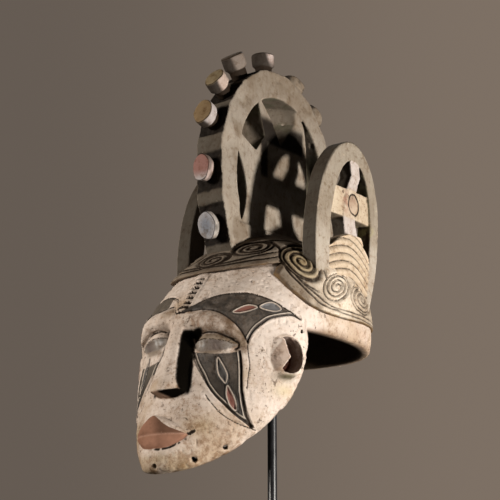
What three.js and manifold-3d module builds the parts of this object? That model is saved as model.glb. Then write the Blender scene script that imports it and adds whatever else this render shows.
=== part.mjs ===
// A carved wooden helmet mask: a white face under a hair cap that carries an openwork crest,
// a tall arched plate along the middle and a hoop on each side. It is held up by a steel rod on a square foot.
// Millimetres, +Z up. The face looks along -Y and the wearer's left is +X.
// The origin is on the underside of the foot, straight under the rod.

import * as THREE from 'three';
import { mergeVertices } from 'three/addons/utils/BufferGeometryUtils.js';
import { ConvexGeometry } from 'three/addons/geometries/ConvexGeometry.js';
import Module from 'manifold-3d';

const wasm = await Module();
wasm.setup();

// stand
const rimHeight = 400;          // the mask's rim above the floor
const rodRadius = 5;
const footSide = 280;
const footThickness = 12;
const footBevel = 1.5;
const socketDepth = 9;          // how far the rod goes into the foot
const restRadius = 22;          // the small plate on the rod's top end, inside the crown
const restThickness = 4;
const restLevel = 99;           // its top face above the rim, where it meets the crown's inside
const rodSetback = 22;          // the rod stands this far behind the middle of the rim
const gap = 0.3;                // clearance between pieces that touch

// carved shell
const wall = 12;
const hairRise = 4;             // how far the hair stands proud of the face and the rim band
const crownTop = 125;           // all heights of the mask are measured from the rim
const chinBottom = -150;
const ringSteps = 56;

// level, half width, where that width lies, front, back, squareness of the outline
const shellLevels = [
  [-150, 4, 158, 162, 10, 2.0],
  [-145, 24, 146, 167, 10, 2.0],
  [-138, 36, 128, 169, 20, 2.0],
  [-126, 51, 104, 167, 40, 2.1],
  [-109, 67, 84, 161, 60, 2.1],
  [-88, 81, 62, 153, 90, 2.1],
  [-68, 90, 48, 145, 110, 2.2],
  [-46, 96, 36, 138, 125, 2.3],
  [-24, 99, 26, 133, 131, 2.3],
  [0, 104, 12, 131, 132, 2.35],
  [14, 105, 4, 129, 131, 2.4],
  [32, 104, 0, 118, 129, 2.4],
  [50, 101, -4, 104, 124, 2.4],
  [66, 95, -6, 91, 116, 2.4],
  [80, 86, -8, 78, 105, 2.3],
  [92, 74, -10, 64, 91, 2.2],
  [104, 58, -12, 46, 74, 2.1],
  [114, 39, -14, 24, 54, 2.0],
  [121, 20, -16, 2, 34, 2.0],
  [125, 2, -17, -14, 20, 2.0],
];

// central arched plate
const plateThickness = 35;
const plateCentre = -16;        // its middle, along the face direction
const plateHalfLength = 104;
const plateWaist = 190;         // the level of its greatest length
const plateRise = 127;
const plateDrop = 166;
const archCentre = -20;         // the opening under the arch
const archHalfLength = 76;
const archSpring = 200;
const archRise = 85;
const sillLevel = 128;
const panelThickness = 31;
const notchSkew = 0.65;         // the notch in the panel is cut slanting backwards, away from the left side

// knobs on the arched plate
const knobHalfWidth = 13;
const knobHalfHeight = 17;
const knobThickness = 12;
const knobStand = 7;            // the upper knobs stand off the edge on a short neck
const knobAngles = [-24.5, -3.5, 21.5, 41.5, 61, 86, 113, 134, 156, 181, 204];

// side hoops
const hoopInside = 77;
const hoopOutside = 95;
const hoopCentre = -33;
const hoopLean = 0.11;          // how far the hoop leans back for each millimetre of height
const hoopHalfLength = 58;
const hoopSpring = 125;
const hoopRise = 101;
const hoopDrop = 140;
const hoopEyeCentre = -38;
const hoopEyeHalfLength = 37;
const hoopEyeRise = 80;
const crossbarLow = 138;
const crossbarHigh = 171;
const webRecess = 3;            // the bar and the strut lie this much behind the hoop's face

function makeSolid(geometry) {
  const bare = geometry.clone();
  bare.deleteAttribute('normal');
  bare.deleteAttribute('uv');
  const merged = mergeVertices(bare, 1e-4);
  return new wasm.Manifold(new wasm.Mesh({
    numProp: 3,
    vertProperties: new Float32Array(merged.attributes.position.array),
    triVerts: new Uint32Array(merged.index.array),
  }));
}

function makeGeometry(solid) {
  const mesh = solid.getMesh();
  const geometry = new THREE.BufferGeometry();
  geometry.setAttribute('position', new THREE.BufferAttribute(new Float32Array(mesh.vertProperties), 3));
  geometry.setIndex(new THREE.BufferAttribute(new Uint32Array(mesh.triVerts), 1));
  geometry.computeVertexNormals();
  return geometry;
}

function joinAll(solids) {
  return solids.reduce((sum, solid) => sum.add(solid));
}

// smooth curve through the shell levels, one column at a time
function shellValue(column, level) {
  const last = shellLevels.length - 1;
  let i = 0;
  while (i < last - 1 && shellLevels[i + 1][0] < level) i += 1;
  const slope = (k) => {
    const low = shellLevels[Math.max(k - 1, 0)];
    const high = shellLevels[Math.min(k + 1, last)];
    return (high[column] - low[column]) / (high[0] - low[0]);
  };
  const [a, b] = [shellLevels[i], shellLevels[i + 1]];
  const span = b[0] - a[0];
  const t = THREE.MathUtils.clamp((level - a[0]) / span, 0, 1);
  const [t2, t3] = [t * t, t * t * t];
  return (2 * t3 - 3 * t2 + 1) * a[column] + (t3 - 2 * t2 + t) * span * slope(i)
    + (3 * t2 - 2 * t3) * b[column] + (t3 - t2) * span * slope(i + 1);
}

// a point of the shell; grow moves it outwards, angle 0 is the middle of the face
function shellPoint(level, angle, grow) {
  const [half, middle, front, back, square] = [1, 2, 3, 4, 5].map((column) => shellValue(column, level));
  const power = 2 / square;
  const side = Math.sign(Math.sin(angle)) * Math.abs(Math.sin(angle)) ** power;
  const along = Math.sign(Math.cos(angle)) * Math.abs(Math.cos(angle)) ** power;
  const reach = along > 0 ? front - middle : back + middle;
  return new THREE.Vector3(
    side * Math.max(half + grow, 1),
    -(middle + along * Math.max(reach + grow, 1)),
    level,
  );
}

// closed loft through the shell's rings between two levels
function shellSolid(low, high, levels, steps, grow, lift) {
  const points = [];
  for (let row = 0; row <= levels; row += 1) {
    const level = low + (high - low) * (row / levels);
    for (let i = 0; i < steps; i += 1) {
      const turn = (i / steps) * 2 * Math.PI;
      const angle = turn - 0.35 * Math.sin(turn);
      const point = shellPoint(level, angle, grow);
      point.z += lift * THREE.MathUtils.smoothstep(level, 0, crownTop);
      points.push(point);
    }
  }
  const middle = (row) => points.slice(row * steps, (row + 1) * steps)
    .reduce((sum, point) => sum.add(point), new THREE.Vector3()).divideScalar(steps);
  points.push(middle(0), middle(levels));
  const [bottom, top] = [points.length - 2, points.length - 1];
  const faces = [];
  for (let i = 0; i < steps; i += 1) {
    const next = (i + 1) % steps;
    faces.push(bottom, next, i);
    faces.push(top, levels * steps + i, levels * steps + next);
    for (let row = 0; row < levels; row += 1) {
      const [a, b] = [row * steps + i, row * steps + next];
      faces.push(a, b, b + steps, a, b + steps, a + steps);
    }
  }
  const geometry = new THREE.BufferGeometry().setFromPoints(points);
  geometry.setIndex(faces);
  return makeSolid(geometry);
}

// a side view outline (forwards, up) given thickness from one side coordinate to the other;
// skew slides it backwards with the distance from the side coordinate it is true at
function sidePrism(shape, from, to, curveSegments = 6, skew = 0, trueAt = 0) {
  const geometry = new THREE.ExtrudeGeometry(shape, { depth: to - from, bevelEnabled: false, curveSegments });
  const basis = new THREE.Matrix4().makeBasis(
    new THREE.Vector3(0, -1, 0),
    new THREE.Vector3(0, 0, 1),
    new THREE.Vector3(-1, 0, 0),
  );
  geometry.applyMatrix4(basis);
  geometry.translate(to - trueAt, 0, 0);
  geometry.applyMatrix4(new THREE.Matrix4().set(1, 0, 0, 0, -skew, 1, 0, 0, 0, 0, 1, 0, 0, 0, 0, 1));
  geometry.translate(trueAt, 0, 0);
  return makeSolid(geometry);
}

function outline(points) {
  return new THREE.Shape(points.map(([forward, up]) => new THREE.Vector2(forward, up)));
}

function smoothOutline(points, closing, steps) {
  const curve = new THREE.SplineCurve(points.map(([forward, up]) => new THREE.Vector2(forward, up)));
  const corners = closing.map(([forward, up]) => new THREE.Vector2(forward, up));
  return new THREE.Shape([...curve.getPoints(steps), ...corners]);
}

// an arch: a half ellipse above the spring level and a flatter one below it
function archShape(centre, halfLength, spring, rise, drop, floor, lean, steps) {
  const points = [];
  const low = Math.asin(THREE.MathUtils.clamp((floor - spring) / drop, -1, 1));
  for (let i = 0; i <= steps; i += 1) {
    const angle = low + (Math.PI - 2 * low) * (i / steps);
    const up = Math.sin(angle) * (angle > 0 && angle < Math.PI ? rise : drop);
    points.push([centre - lean * up + halfLength * Math.cos(angle), spring + up]);
  }
  return outline(points);
}

function headShell() {
  const outer = shellSolid(chinBottom, crownTop, 26, ringSteps, 0, 0);
  const hair = shellSolid(12, crownTop, 12, ringSteps, hairRise, hairRise);
  const aboveHair = sidePrism(smoothOutline(
    [[73, 57], [68, 42], [54, 29], [34, 22], [0, 20], [-60, 23], [-160, 28]],
    [[-200, 30], [-200, 200], [140, 200], [140, 64], [60, 71]],
    14,
  ), -150, 150);
  const inner = shellSolid(chinBottom + 16, crownTop, 15, 34, -wall, -wall - 2);
  const below = sidePrism(smoothOutline(
    [[50, 0], [46, -15], [50, -40], [63, -71], [84, -98], [113, -127], [140, -143], [158, -148.5]],
    [[240, -149], [240, -220], [-220, -220], [-220, 0]],
    14,
  ), -150, 150);
  return { solid: outer.add(hair.intersect(aboveHair)), inner, below };
}

// nose, eyes, lips and ears, all symmetrical
function faceCarving() {
  const nose = makeSolid(new ConvexGeometry([
    [6, 130, 12], [-6, 130, 12], [10, 112, 8], [-10, 112, 8],
    [7, 158, -56], [-7, 158, -56], [5, 167, -66], [-5, 167, -66],
    [9, 160, -73], [-9, 160, -73], [19, 147, -62], [-19, 147, -62],
    [20, 140, -73], [-20, 140, -73], [14, 118, -40], [-14, 118, -40], [14, 120, -76], [-14, 120, -76],
  ].map(([side, forward, up]) => new THREE.Vector3(side, -forward, up))));
  const rounded = (side, forward, up, radii, turn) => {
    const geometry = new THREE.SphereGeometry(1, 16, 10);
    geometry.scale(...radii);
    geometry.rotateZ(turn);
    geometry.translate(side, -forward, up);
    return makeSolid(geometry);
  };
  const parts = [nose];
  parts.push(rounded(0, 157, -101, [29, 15, 10], 0));
  parts.push(rounded(0, 156, -115, [25, 15, 9], 0));
  for (const side of [-1, 1]) {
    parts.push(rounded(side * 41, 118, -19, [24, 12, 9], side * 0.4));
    const lobe = new THREE.Shape();
    lobe.absellipse(74, -29, 14, 18, 0, 2 * Math.PI, false, 0);
    const hollow = new THREE.Path();
    hollow.absellipse(71, -29, 7, 11, 0, 2 * Math.PI, false, 0);
    lobe.holes.push(hollow);
    const [near, far] = side > 0 ? [84, 98] : [-98, -84];
    parts.push(sidePrism(lobe, near, far, 10));
  }
  return joinAll(parts);
}

// the point of the arched plate's edge at an angle, and the direction straight out of it
function plateEdge(degrees) {
  const angle = THREE.MathUtils.degToRad(degrees);
  const height = angle > 0 ? plateRise : plateDrop;
  const forward = plateCentre + plateHalfLength * Math.cos(angle);
  const up = plateWaist + height * Math.sin(angle);
  const out = new THREE.Vector2(Math.cos(angle) / plateHalfLength, Math.sin(angle) / height).normalize();
  return { forward, up, out };
}

function knob(degrees) {
  const { forward, up, out } = plateEdge(degrees);
  const stand = knobStand * THREE.MathUtils.smoothstep(up, plateWaist - 20, plateWaist + 40);
  const depth = knobThickness + stand + 3;
  const geometry = new THREE.CylinderGeometry(1, 0.86, depth, 14);
  geometry.scale(knobHalfWidth, 1, knobHalfHeight);
  const normal = new THREE.Vector3(0, -out.x, out.y);
  const across = new THREE.Vector3(1, 0, 0);
  geometry.applyMatrix4(new THREE.Matrix4().makeBasis(across, normal, across.clone().cross(normal)));
  const reach = depth / 2 - 3;
  geometry.translate(0, -(forward + out.x * reach), up + out.y * reach);
  return makeSolid(geometry);
}

function centralCrest() {
  const half = plateThickness / 2;
  const plate = sidePrism(
    archShape(plateCentre, plateHalfLength, plateWaist, plateRise, plateDrop, 78, 0, 44), -half, half);
  const open = (grow) => archShape(
    archCentre, archHalfLength + grow, archSpring, archRise + grow, 900, sillLevel - grow, 0, 24);
  const panelHalf = panelThickness / 2;
  const kite = outline([[56, 230], [25, 216], [9, 235], [22, 275], [40, 300], [80, 280]]);
  const notch = outline([[-20, 231], [-47, 264], [-49, 310], [14, 310], [14, 275], [-4, 256]]);
  const backGap = outline([[-57, 280], [-64, 262], [-69, 230], [-69, 135], [-120, 135], [-120, 320], [-57, 320]]);
  let panel = sidePrism(open(4), -panelHalf, panelHalf);
  for (const hole of [kite, backGap]) panel = panel.subtract(sidePrism(hole, -40, 40));
  panel = panel.subtract(sidePrism(notch, -40, 40, 6, notchSkew, panelHalf));
  const leaf = new THREE.Shape();
  leaf.moveTo(57, 207);
  leaf.quadraticCurveTo(31, 168, 50, 132);
  leaf.quadraticCurveTo(66, 170, 57, 207);
  const crest = plate.subtract(sidePrism(open(0), -40, 40)).add(panel);
  return crest.subtract(sidePrism(leaf, -40, 40)).add(joinAll(knobAngles.map(knob)));
}

function sideHoop(side) {
  const place = (near, far) => (side > 0 ? [near, far] : [-far, -near]);
  const ring = sidePrism(archShape(hoopCentre, hoopHalfLength, hoopSpring, hoopRise, hoopDrop, 40, hoopLean, 30),
    ...place(hoopInside, hoopOutside));
  const eye = sidePrism(archShape(hoopEyeCentre, hoopEyeHalfLength, hoopSpring, hoopEyeRise, 300, 30, hoopLean, 20),
    ...place(hoopInside - 20, hoopOutside + 20));
  const webFace = hoopOutside - webRecess;
  const bar = outline([[8, crossbarLow], [-85, crossbarLow], [-85, crossbarHigh], [8, crossbarHigh]]);
  const strut = outline([[-40, 212], [-57, 212], [-60, 188], [-50, 168], [-47, 140], [-53, 116],
    [-72, 96], [-76, 50], [8, 50], [4, 98], [-30, 116], [-25, 140], [-31, 168], [-43, 188]]);
  const boss = new THREE.SphereGeometry(1, 14, 8);
  boss.scale(8, 9, 10);
  boss.translate(side * (webFace - 1), 44, 156);
  return ring.subtract(eye)
    .add(sidePrism(bar, ...place(hoopInside, webFace)))
    .add(sidePrism(strut, ...place(hoopInside, webFace)))
    .add(makeSolid(boss));
}

function carvedMask() {
  const { solid, inner, below } = headShell();
  const carved = joinAll([solid, faceCarving(), centralCrest(), sideHoop(-1), sideHoop(1)]);
  return makeGeometry(carved.subtract(inner).subtract(below).simplify(0.02));
}

function standRod() {
  const top = rimHeight + restLevel;
  const bottom = footThickness - socketDepth + gap;
  const points = [
    [0, bottom], [rodRadius, bottom], [rodRadius, top - gap - restThickness],
    [restRadius, top - gap - restThickness], [restRadius, top - gap], [0, top - gap],
  ];
  const geometry = new THREE.LatheGeometry(points.map(([radius, up]) => new THREE.Vector2(radius, up)), 24);
  geometry.rotateX(Math.PI / 2);
  return makeGeometry(makeSolid(geometry));
}

function standFoot() {
  const half = footSide / 2;
  const square = new THREE.Shape([[-1, -1], [1, -1], [1, 1], [-1, 1]]
    .map(([x, y]) => new THREE.Vector2(x * (half - footBevel), y * (half - footBevel))));
  const plate = new THREE.ExtrudeGeometry(square, {
    depth: footThickness - 2 * footBevel, bevelThickness: footBevel, bevelSize: footBevel, bevelSegments: 1,
  });
  plate.translate(0, 0, footBevel);
  const socket = new THREE.CylinderGeometry(rodRadius + gap, rodRadius + gap, socketDepth * 2, 24);
  socket.rotateX(Math.PI / 2);
  socket.translate(0, 0, footThickness);
  return makeGeometry(makeSolid(plate).subtract(makeSolid(socket)));
}

function piece(name, geometry, colour, roughness, metalness) {
  const mesh = new THREE.Mesh(geometry, new THREE.MeshStandardMaterial({ color: colour, roughness, metalness }));
  mesh.name = name;
  return mesh;
}

const mask = piece('mask', carvedMask(), 0xb8ad98, 0.75, 0);
mask.position.set(0, -rodSetback, rimHeight);

const group = new THREE.Group();
group.add(mask);
group.add(piece('stand_rod', standRod(), 0x111111, 0.35, 0.6));
group.add(piece('stand_foot', standFoot(), 0x151515, 0.4, 0.6));

export default group;
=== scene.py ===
# A carved wooden helmet mask with an openwork crest, on its display rod.
# The carving is worked out in millimetres: x to the mask's left, y backwards, z up from the rim.
import math

import bpy
import numpy as np
import openvdb
from mathutils import Matrix, Vector


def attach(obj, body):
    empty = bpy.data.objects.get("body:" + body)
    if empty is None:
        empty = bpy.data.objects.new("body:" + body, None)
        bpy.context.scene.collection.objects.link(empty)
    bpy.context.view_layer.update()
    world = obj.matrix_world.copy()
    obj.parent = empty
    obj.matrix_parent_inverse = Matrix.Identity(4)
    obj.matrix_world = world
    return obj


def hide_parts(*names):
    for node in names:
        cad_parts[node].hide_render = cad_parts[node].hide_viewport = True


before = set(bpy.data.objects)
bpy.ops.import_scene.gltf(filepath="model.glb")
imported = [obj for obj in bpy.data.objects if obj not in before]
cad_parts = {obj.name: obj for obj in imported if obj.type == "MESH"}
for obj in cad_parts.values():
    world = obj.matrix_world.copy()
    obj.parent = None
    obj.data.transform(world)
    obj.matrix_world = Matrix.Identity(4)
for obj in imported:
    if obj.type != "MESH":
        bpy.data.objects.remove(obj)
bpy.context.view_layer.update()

place = np.array([0.0, -22.0, 400.0])   # from the carving's own origin to the row frame


def blendMin(a, b, radius):
    share = np.clip(0.5 + 0.5 * (b - a) / radius, 0, 1)
    return b + (a - b) * share - radius * share * (1 - share)


def blendMax(a, b, radius):
    return -blendMin(-a, -b, radius)


def smoothStep(low, high, value):
    t = np.clip((value - low) / (high - low), 0, 1)
    return t * t * (3 - 2 * t)


def bell(value, width):
    return np.exp(-(value / width) ** 2)


def softNoise(points, size, seed):
    # smooth values between -1 and 1 on a lattice of the given size
    side = 24
    lattice = np.random.default_rng(seed).random((side, side, side)).astype(np.float32) * 2 - 1
    q = np.asarray(points, np.float32) / size + 7.3
    cell = np.floor(q).astype(int)
    t = q - cell
    t = t * t * (3 - 2 * t)
    total = 0
    for i in (0, 1):
        for j in (0, 1):
            for k in (0, 1):
                weight = abs(1 - i - t[..., 0]) * abs(1 - j - t[..., 1]) * abs(1 - k - t[..., 2])
                a, b, c = (cell[..., 0] + i) % side, (cell[..., 1] + j) % side, (cell[..., 2] + k) % side
                total = total + weight * lattice[a, b, c]
    return total


def roughNoise(points, size, seed, octaves=3):
    return sum(softNoise(points, size / 2 ** n, seed + n) / 2 ** n for n in range(octaves))


def smoothCurve(points, steps=8, closed=False):
    # Catmull-Rom through the points
    p = np.array(points, float)
    n = len(p)
    out = []
    for i in range(n if closed else n - 1):
        if closed:
            a, b, c, d = p[(i - 1) % n], p[i], p[(i + 1) % n], p[(i + 2) % n]
        else:
            a, b, c, d = p[max(i - 1, 0)], p[i], p[i + 1], p[min(i + 2, n - 1)]
        for t in np.arange(steps) / steps:
            out.append(0.5 * (2 * b + (c - a) * t + (2 * a - 5 * b + 4 * c - d) * t ** 2
                              + (3 * b - a - 3 * c + d) * t ** 3))
    if not closed:
        out.append(p[-1])
    return np.array(out)


def lineDistance(u, v, line, closed=False):
    # shortest distance from the points (u, v) to a line of straight pieces
    line = np.asarray(line, float)
    ends = np.roll(line, -1, axis=0) if closed else line[1:]
    best = np.full(np.shape(u), 1e9)
    for (au, av), (bu, bv) in zip(line, ends):
        du, dv = bu - au, bv - av
        t = np.clip(((u - au) * du + (v - av) * dv) / max(du * du + dv * dv, 1e-9), 0, 1)
        best = np.minimum(best, (u - au - t * du) ** 2 + (v - av - t * dv) ** 2)
    return np.sqrt(best)


def outlineDistance(u, v, outline):
    # below zero inside the closed outline
    outline = np.asarray(outline, float)
    inside = np.zeros(np.shape(u), bool)
    for (au, av), (bu, bv) in zip(outline, np.roll(outline, -1, axis=0)):
        if av == bv:
            continue
        crosses = (av > v) != (bv > v)
        inside ^= crosses & (u < (bu - au) * (v - av) / (bv - av) + au)
    return np.where(inside, -1, 1) * lineDistance(u, v, outline, closed=True)


def blob(x, y, z, centre, radii):
    # rough distance to an ellipsoid
    q = [(x - centre[0]) / radii[0], (y - centre[1]) / radii[1], (z - centre[2]) / radii[2]]
    return (np.sqrt(q[0] ** 2 + q[1] ** 2 + q[2] ** 2) - 1) * min(radii)


def makeGrid(low, high, step):
    x, y, z = (np.arange(a, b + step, step, dtype=np.float32) for a, b in zip(low, high))
    return x[:, None, None], y[None, :, None], z[None, None, :]


def sideOutline(y, z, outline):
    # distance on a grid to an outline drawn as forward and level
    f, h = np.meshgrid(-y[0, :, 0], z[0, 0, :], indexing="ij")
    return outlineDistance(f, h, outline)[None].astype(np.float32)


def sampleField(field, low, step, points):
    q = np.clip((points - np.array(low)) / step, 0, np.array(field.shape) - 1.001)
    cell = q.astype(int)
    t = q - cell
    total = 0
    for i in (0, 1):
        for j in (0, 1):
            for k in (0, 1):
                weight = abs(1 - i - t[:, 0]) * abs(1 - j - t[:, 1]) * abs(1 - k - t[:, 2])
                total = total + weight * field[cell[:, 0] + i, cell[:, 1] + j, cell[:, 2] + k]
    return total


def meshFromArrays(name, points, faces):
    mesh = bpy.data.meshes.new(name)
    mesh.vertices.add(len(points))
    mesh.vertices.foreach_set("co", placed(points))
    mesh.loops.add(faces.size)
    mesh.loops.foreach_set("vertex_index", faces.astype(np.int32).ravel())
    mesh.polygons.add(len(faces))
    mesh.polygons.foreach_set("loop_start", np.arange(0, faces.size, faces.shape[1], dtype=np.int32))
    mesh.update(calc_edges=True)
    mesh.validate()
    mesh.polygons.foreach_set("use_smooth", np.ones(len(mesh.polygons), bool))
    piece = bpy.data.objects.new(name, mesh)
    bpy.context.scene.collection.objects.link(piece)
    return piece


def readVertices(mesh, what):
    flat = np.zeros(len(mesh.vertices) * 3, np.float32)
    mesh.vertices.foreach_get(what, flat)
    return flat.reshape(-1, 3).astype(float)


def placed(points):
    # from the carving's millimetres to metres in the row frame
    return ((points + place) / 1000).astype(np.float32).ravel()


thinning = {
    "pull": 4e-6,      # how much sooner plain parts lose triangles, small against the modifier's own measure
    "detail": 0.05,    # weight of the vertices that keep their detail; at 0 they would lose none
    "plain": 1.0,
}


def thinOut(piece, share, plain):
    # fewer triangles, taken first where the vertices are plain
    group = piece.vertex_groups.new(name="plain")
    group.add(np.nonzero(~plain)[0].tolist(), thinning["detail"], "REPLACE")
    group.add(np.nonzero(plain)[0].tolist(), thinning["plain"], "REPLACE")
    thin = piece.modifiers.new("thin", "DECIMATE")
    thin.ratio = share
    thin.use_collapse_triangulate = True
    thin.vertex_group = group.name
    thin.vertex_group_factor = thinning["pull"]
    graph = bpy.context.evaluated_depsgraph_get()
    mesh = bpy.data.meshes.new_from_object(piece.evaluated_get(graph))
    piece.modifiers.clear()
    piece.vertex_groups.clear()
    old = piece.data
    piece.data = mesh
    mesh.name = piece.name
    bpy.data.meshes.remove(old)


def carve(name, field, low, step, relief, share, isPlain):
    # skin of a field, moved by its relief, then thinned to a share of its triangles
    volume = openvdb.FloatGrid(background=9.0)
    volume.copyFromArray(np.clip(field, -9, 9).astype(np.float32))
    points, quads = volume.convertToQuads(isovalue=0.0)
    points = np.array(low) + np.asarray(points, float) * step
    quads = np.asarray(quads, np.int64)
    a, b, c = points[quads[:, 0]], points[quads[:, 1]], points[quads[:, 2]]
    if np.einsum("ij,ij->i", a, np.cross(b, c)).sum() < 0:
        quads = quads[:, ::-1]
    piece = meshFromArrays(name, points, quads)
    normals = readVertices(piece.data, "normal")
    points = points + normals * relief(points, normals)[:, None]
    piece.data.vertices.foreach_set("co", placed(points))
    if share < 1:
        thinOut(piece, share, isPlain(points))
    piece.data.polygons.foreach_set("use_smooth", np.ones(len(piece.data.polygons), bool))
    piece.data.update()
    print(name, "made of", len(quads), "quads, kept", len(piece.data.polygons), "faces")
    return piece, field, low, step


def store(piece, **layers):
    # attributes the finishes read, one number or colour for each vertex
    count = len(piece.data.vertices)
    for name, values in layers.items():
        isColour = np.ndim(values) == 2
        layer = piece.data.attributes.new(name, "FLOAT_COLOR" if isColour else "FLOAT", "POINT")
        flat = np.ones((count, 4) if isColour else count, np.float32)
        if isColour:
            flat[:, :3] = values
        else:
            flat[:] = values
        layer.data.foreach_set("color" if isColour else "value", flat.ravel())


def coat(colour, count):
    return np.tile(np.array(colour), (count, 1))


def lay(colours, colour, share):
    # paint a colour over the ones already there
    share = np.clip(share, 0, 1)[:, None]
    colours *= 1 - share
    colours += np.array(colour) * share


def hollows(piece, field, low, step, reach=4.0):
    # how closed in and how sharp the surface is at each point, from the field around it
    points = readVertices(piece.data, "co") * 1000 - place
    normals = readVertices(piece.data, "normal")
    outside = sampleField(field, low, step, points + normals * reach) / reach
    inside = -sampleField(field, low, step, points - normals * reach * 0.75) / (reach * 0.75)
    return points, normals, np.clip(1 - outside, 0, 1), np.clip(1 - inside, 0, 1)


# The plain shell. Level, half width, where that width lies, front, back, squareness of the outline
shellLevels = np.array([
    [-150, 4, 158, 162, 10, 2.0], [-145, 24, 146, 167, 10, 2.0], [-138, 36, 128, 169, 20, 2.0],
    [-126, 51, 104, 167, 40, 2.1], [-109, 67, 84, 161, 60, 2.1], [-88, 81, 62, 153, 90, 2.1],
    [-68, 90, 48, 145, 110, 2.2], [-46, 96, 36, 138, 125, 2.3], [-24, 99, 26, 133, 131, 2.3],
    [0, 104, 12, 131, 132, 2.35], [14, 105, 4, 129, 131, 2.4], [32, 104, 0, 118, 129, 2.4],
    [50, 101, -4, 104, 124, 2.4], [66, 95, -6, 91, 116, 2.4], [80, 86, -8, 78, 105, 2.3],
    [92, 74, -10, 64, 91, 2.2], [104, 58, -12, 46, 74, 2.1], [114, 39, -14, 24, 54, 2.0],
    [121, 20, -16, 2, 34, 2.0], [125, 2, -17, -14, 20, 2.0],
])
shell = {
    "wall": 12.0,
    "step": 1.15,        # size of the modelling grid
    "headShare": 0.33,
    "headLow": (-114.0, -180.0, -154.0), "headHigh": (114, 140, 131),   # box of the head's grid
    "low": (-126.0, -188.0, -160.0), "high": (126.0, 150.0, 152.0),
    "skinStep": 1.5, "skinBand": 13.0,         # the distance field kept of the plain skin
    "farTemple": (0.11, 68, 34),               # how much narrower the right temple is, its level, its spread
}
jawLine = [[50, 0], [46, -15], [50, -40], [63, -71], [84, -98], [113, -127], [140, -143], [158, -148.5]]
jawClosing = [[240, -149], [240, -220], [-220, -220], [-220, 0]]
jawOutline = np.vstack([smoothCurve(jawLine, 4), jawClosing])


def shellValue(column, level):
    levels, values = shellLevels[:, 0], shellLevels[:, column]
    n = len(levels)
    before, after = np.maximum(np.arange(n) - 1, 0), np.minimum(np.arange(n) + 1, n - 1)
    slope = (values[after] - values[before]) / (levels[after] - levels[before])
    i = np.clip(np.searchsorted(levels, level) - 1, 0, n - 2)
    span = levels[i + 1] - levels[i]
    t = np.clip((level - levels[i]) / span, 0, 1)
    return ((2 * t ** 3 - 3 * t ** 2 + 1) * values[i] + (t ** 3 - 2 * t ** 2 + t) * span * slope[i]
            + (3 * t ** 2 - 2 * t ** 3) * values[i + 1] + (t ** 3 - t ** 2) * span * slope[i + 1])


def shellPoint(level, angle):
    # a point of the skin: level, and angle round it from the middle of the face
    half, middle, front, back, power = (shellValue(c, level) for c in range(1, 6))
    side = np.abs(np.sin(angle)) ** (2 / power) * np.sign(np.sin(angle))
    along = np.abs(np.cos(angle)) ** (2 / power) * np.sign(np.cos(angle))
    reach = np.where(along > 0, front - middle, back + middle)
    return np.stack([side * half, -(middle + along * reach), level + 0 * angle], -1)


def makeSkinField():
    rows = np.linspace(-149.5, 124.5, 170)
    turns = np.linspace(-math.pi, math.pi, 261)[:-1]
    rings = shellPoint(rows[:, None], turns[None, :])
    share, level, spread = shell["farTemple"]
    narrow = 1 - share * bell(rows - level, spread)[:, None]
    rings[..., 0] *= np.where(rings[..., 0] < 0, narrow, 1)
    count, width = rings.shape[:2]
    index = np.arange(count * width).reshape(count, width)
    beside = np.roll(index, -1, axis=1)
    quads = np.stack([index[:-1], beside[:-1], beside[1:], index[1:]], -1).reshape(-1, 4)
    ends = [np.full(width, count * width), np.full(width, count * width + 1)]
    caps = np.vstack([np.stack([index[0], ends[0], beside[0]], -1),
                      np.stack([beside[-1], ends[1], index[-1]], -1)])
    points = np.vstack([rings.reshape(-1, 3), rings[0].mean(0), rings[-1].mean(0)])
    step, low = shell["skinStep"], np.array(shell["low"])
    volume = openvdb.FloatGrid.createLevelSetFromPolygons(
        ((points - low) / step).astype(np.float32), triangles=caps.astype(np.uint32),
        quads=quads.astype(np.uint32), halfWidth=shell["skinBand"])
    field = np.empty([int((b - a) / step) + 2 for a, b in zip(shell["low"], shell["high"])], np.float32)
    volume.copyToArray(field)
    return field * step


skinField = makeSkinField()
print("skin field", skinField.shape, float(skinField.min()), float(skinField.max()))


def skinGrid(x, y, z):
    # distance to the skin on a grid
    field = skinField
    for axis, line in enumerate((x, y, z)):
        q = np.clip((line.ravel() - shell["low"][axis]) / shell["skinStep"], 0, field.shape[axis] - 1.001)
        i = q.astype(int)
        t = (q - i).astype(np.float32).reshape([-1 if k == axis else 1 for k in range(3)])
        field = np.take(field, i, axis) * (1 - t) + np.take(field, i + 1, axis) * t
    return field


def skinAt(points):
    return sampleField(skinField, shell["low"], shell["skinStep"], points)


# arc length round each level, from the middle of the face, to lay flat patterns on the skin
tableLevels = np.linspace(-149, 124, 140)
tableAngles = np.linspace(0, math.pi, 241)
tablePoints = shellPoint(tableLevels[:, None], tableAngles[None, :])
tableArc = np.zeros(tablePoints.shape[:2])
tableArc[:, 1:] = np.cumsum(np.linalg.norm(np.diff(tablePoints, axis=1), axis=2), axis=1)


def skinArc(x, y, z):
    # arc length from the middle of the face, always positive, for points near the skin
    x, y, z = np.broadcast_arrays(np.asarray(x, float), np.asarray(y, float), np.asarray(z, float))
    half, middle, front, back, power = (shellValue(c, z) for c in range(1, 6))
    forward = -y - middle
    u = np.abs(x) / half
    v = forward / np.where(forward > 0, front - middle, back + middle)
    angle = np.arctan2(u ** (power / 2), np.sign(v) * np.abs(v) ** (power / 2))
    row = np.clip((z - tableLevels[0]) / (tableLevels[1] - tableLevels[0]), 0, len(tableLevels) - 1.001)
    col = np.clip(angle / tableAngles[1], 0, len(tableAngles) - 1.001)
    i, j = row.astype(int), col.astype(int)
    s, t = row - i, col - j
    return ((1 - s) * (1 - t) * tableArc[i, j] + s * (1 - t) * tableArc[i + 1, j]
            + (1 - s) * t * tableArc[i, j + 1] + s * t * tableArc[i + 1, j + 1])


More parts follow.
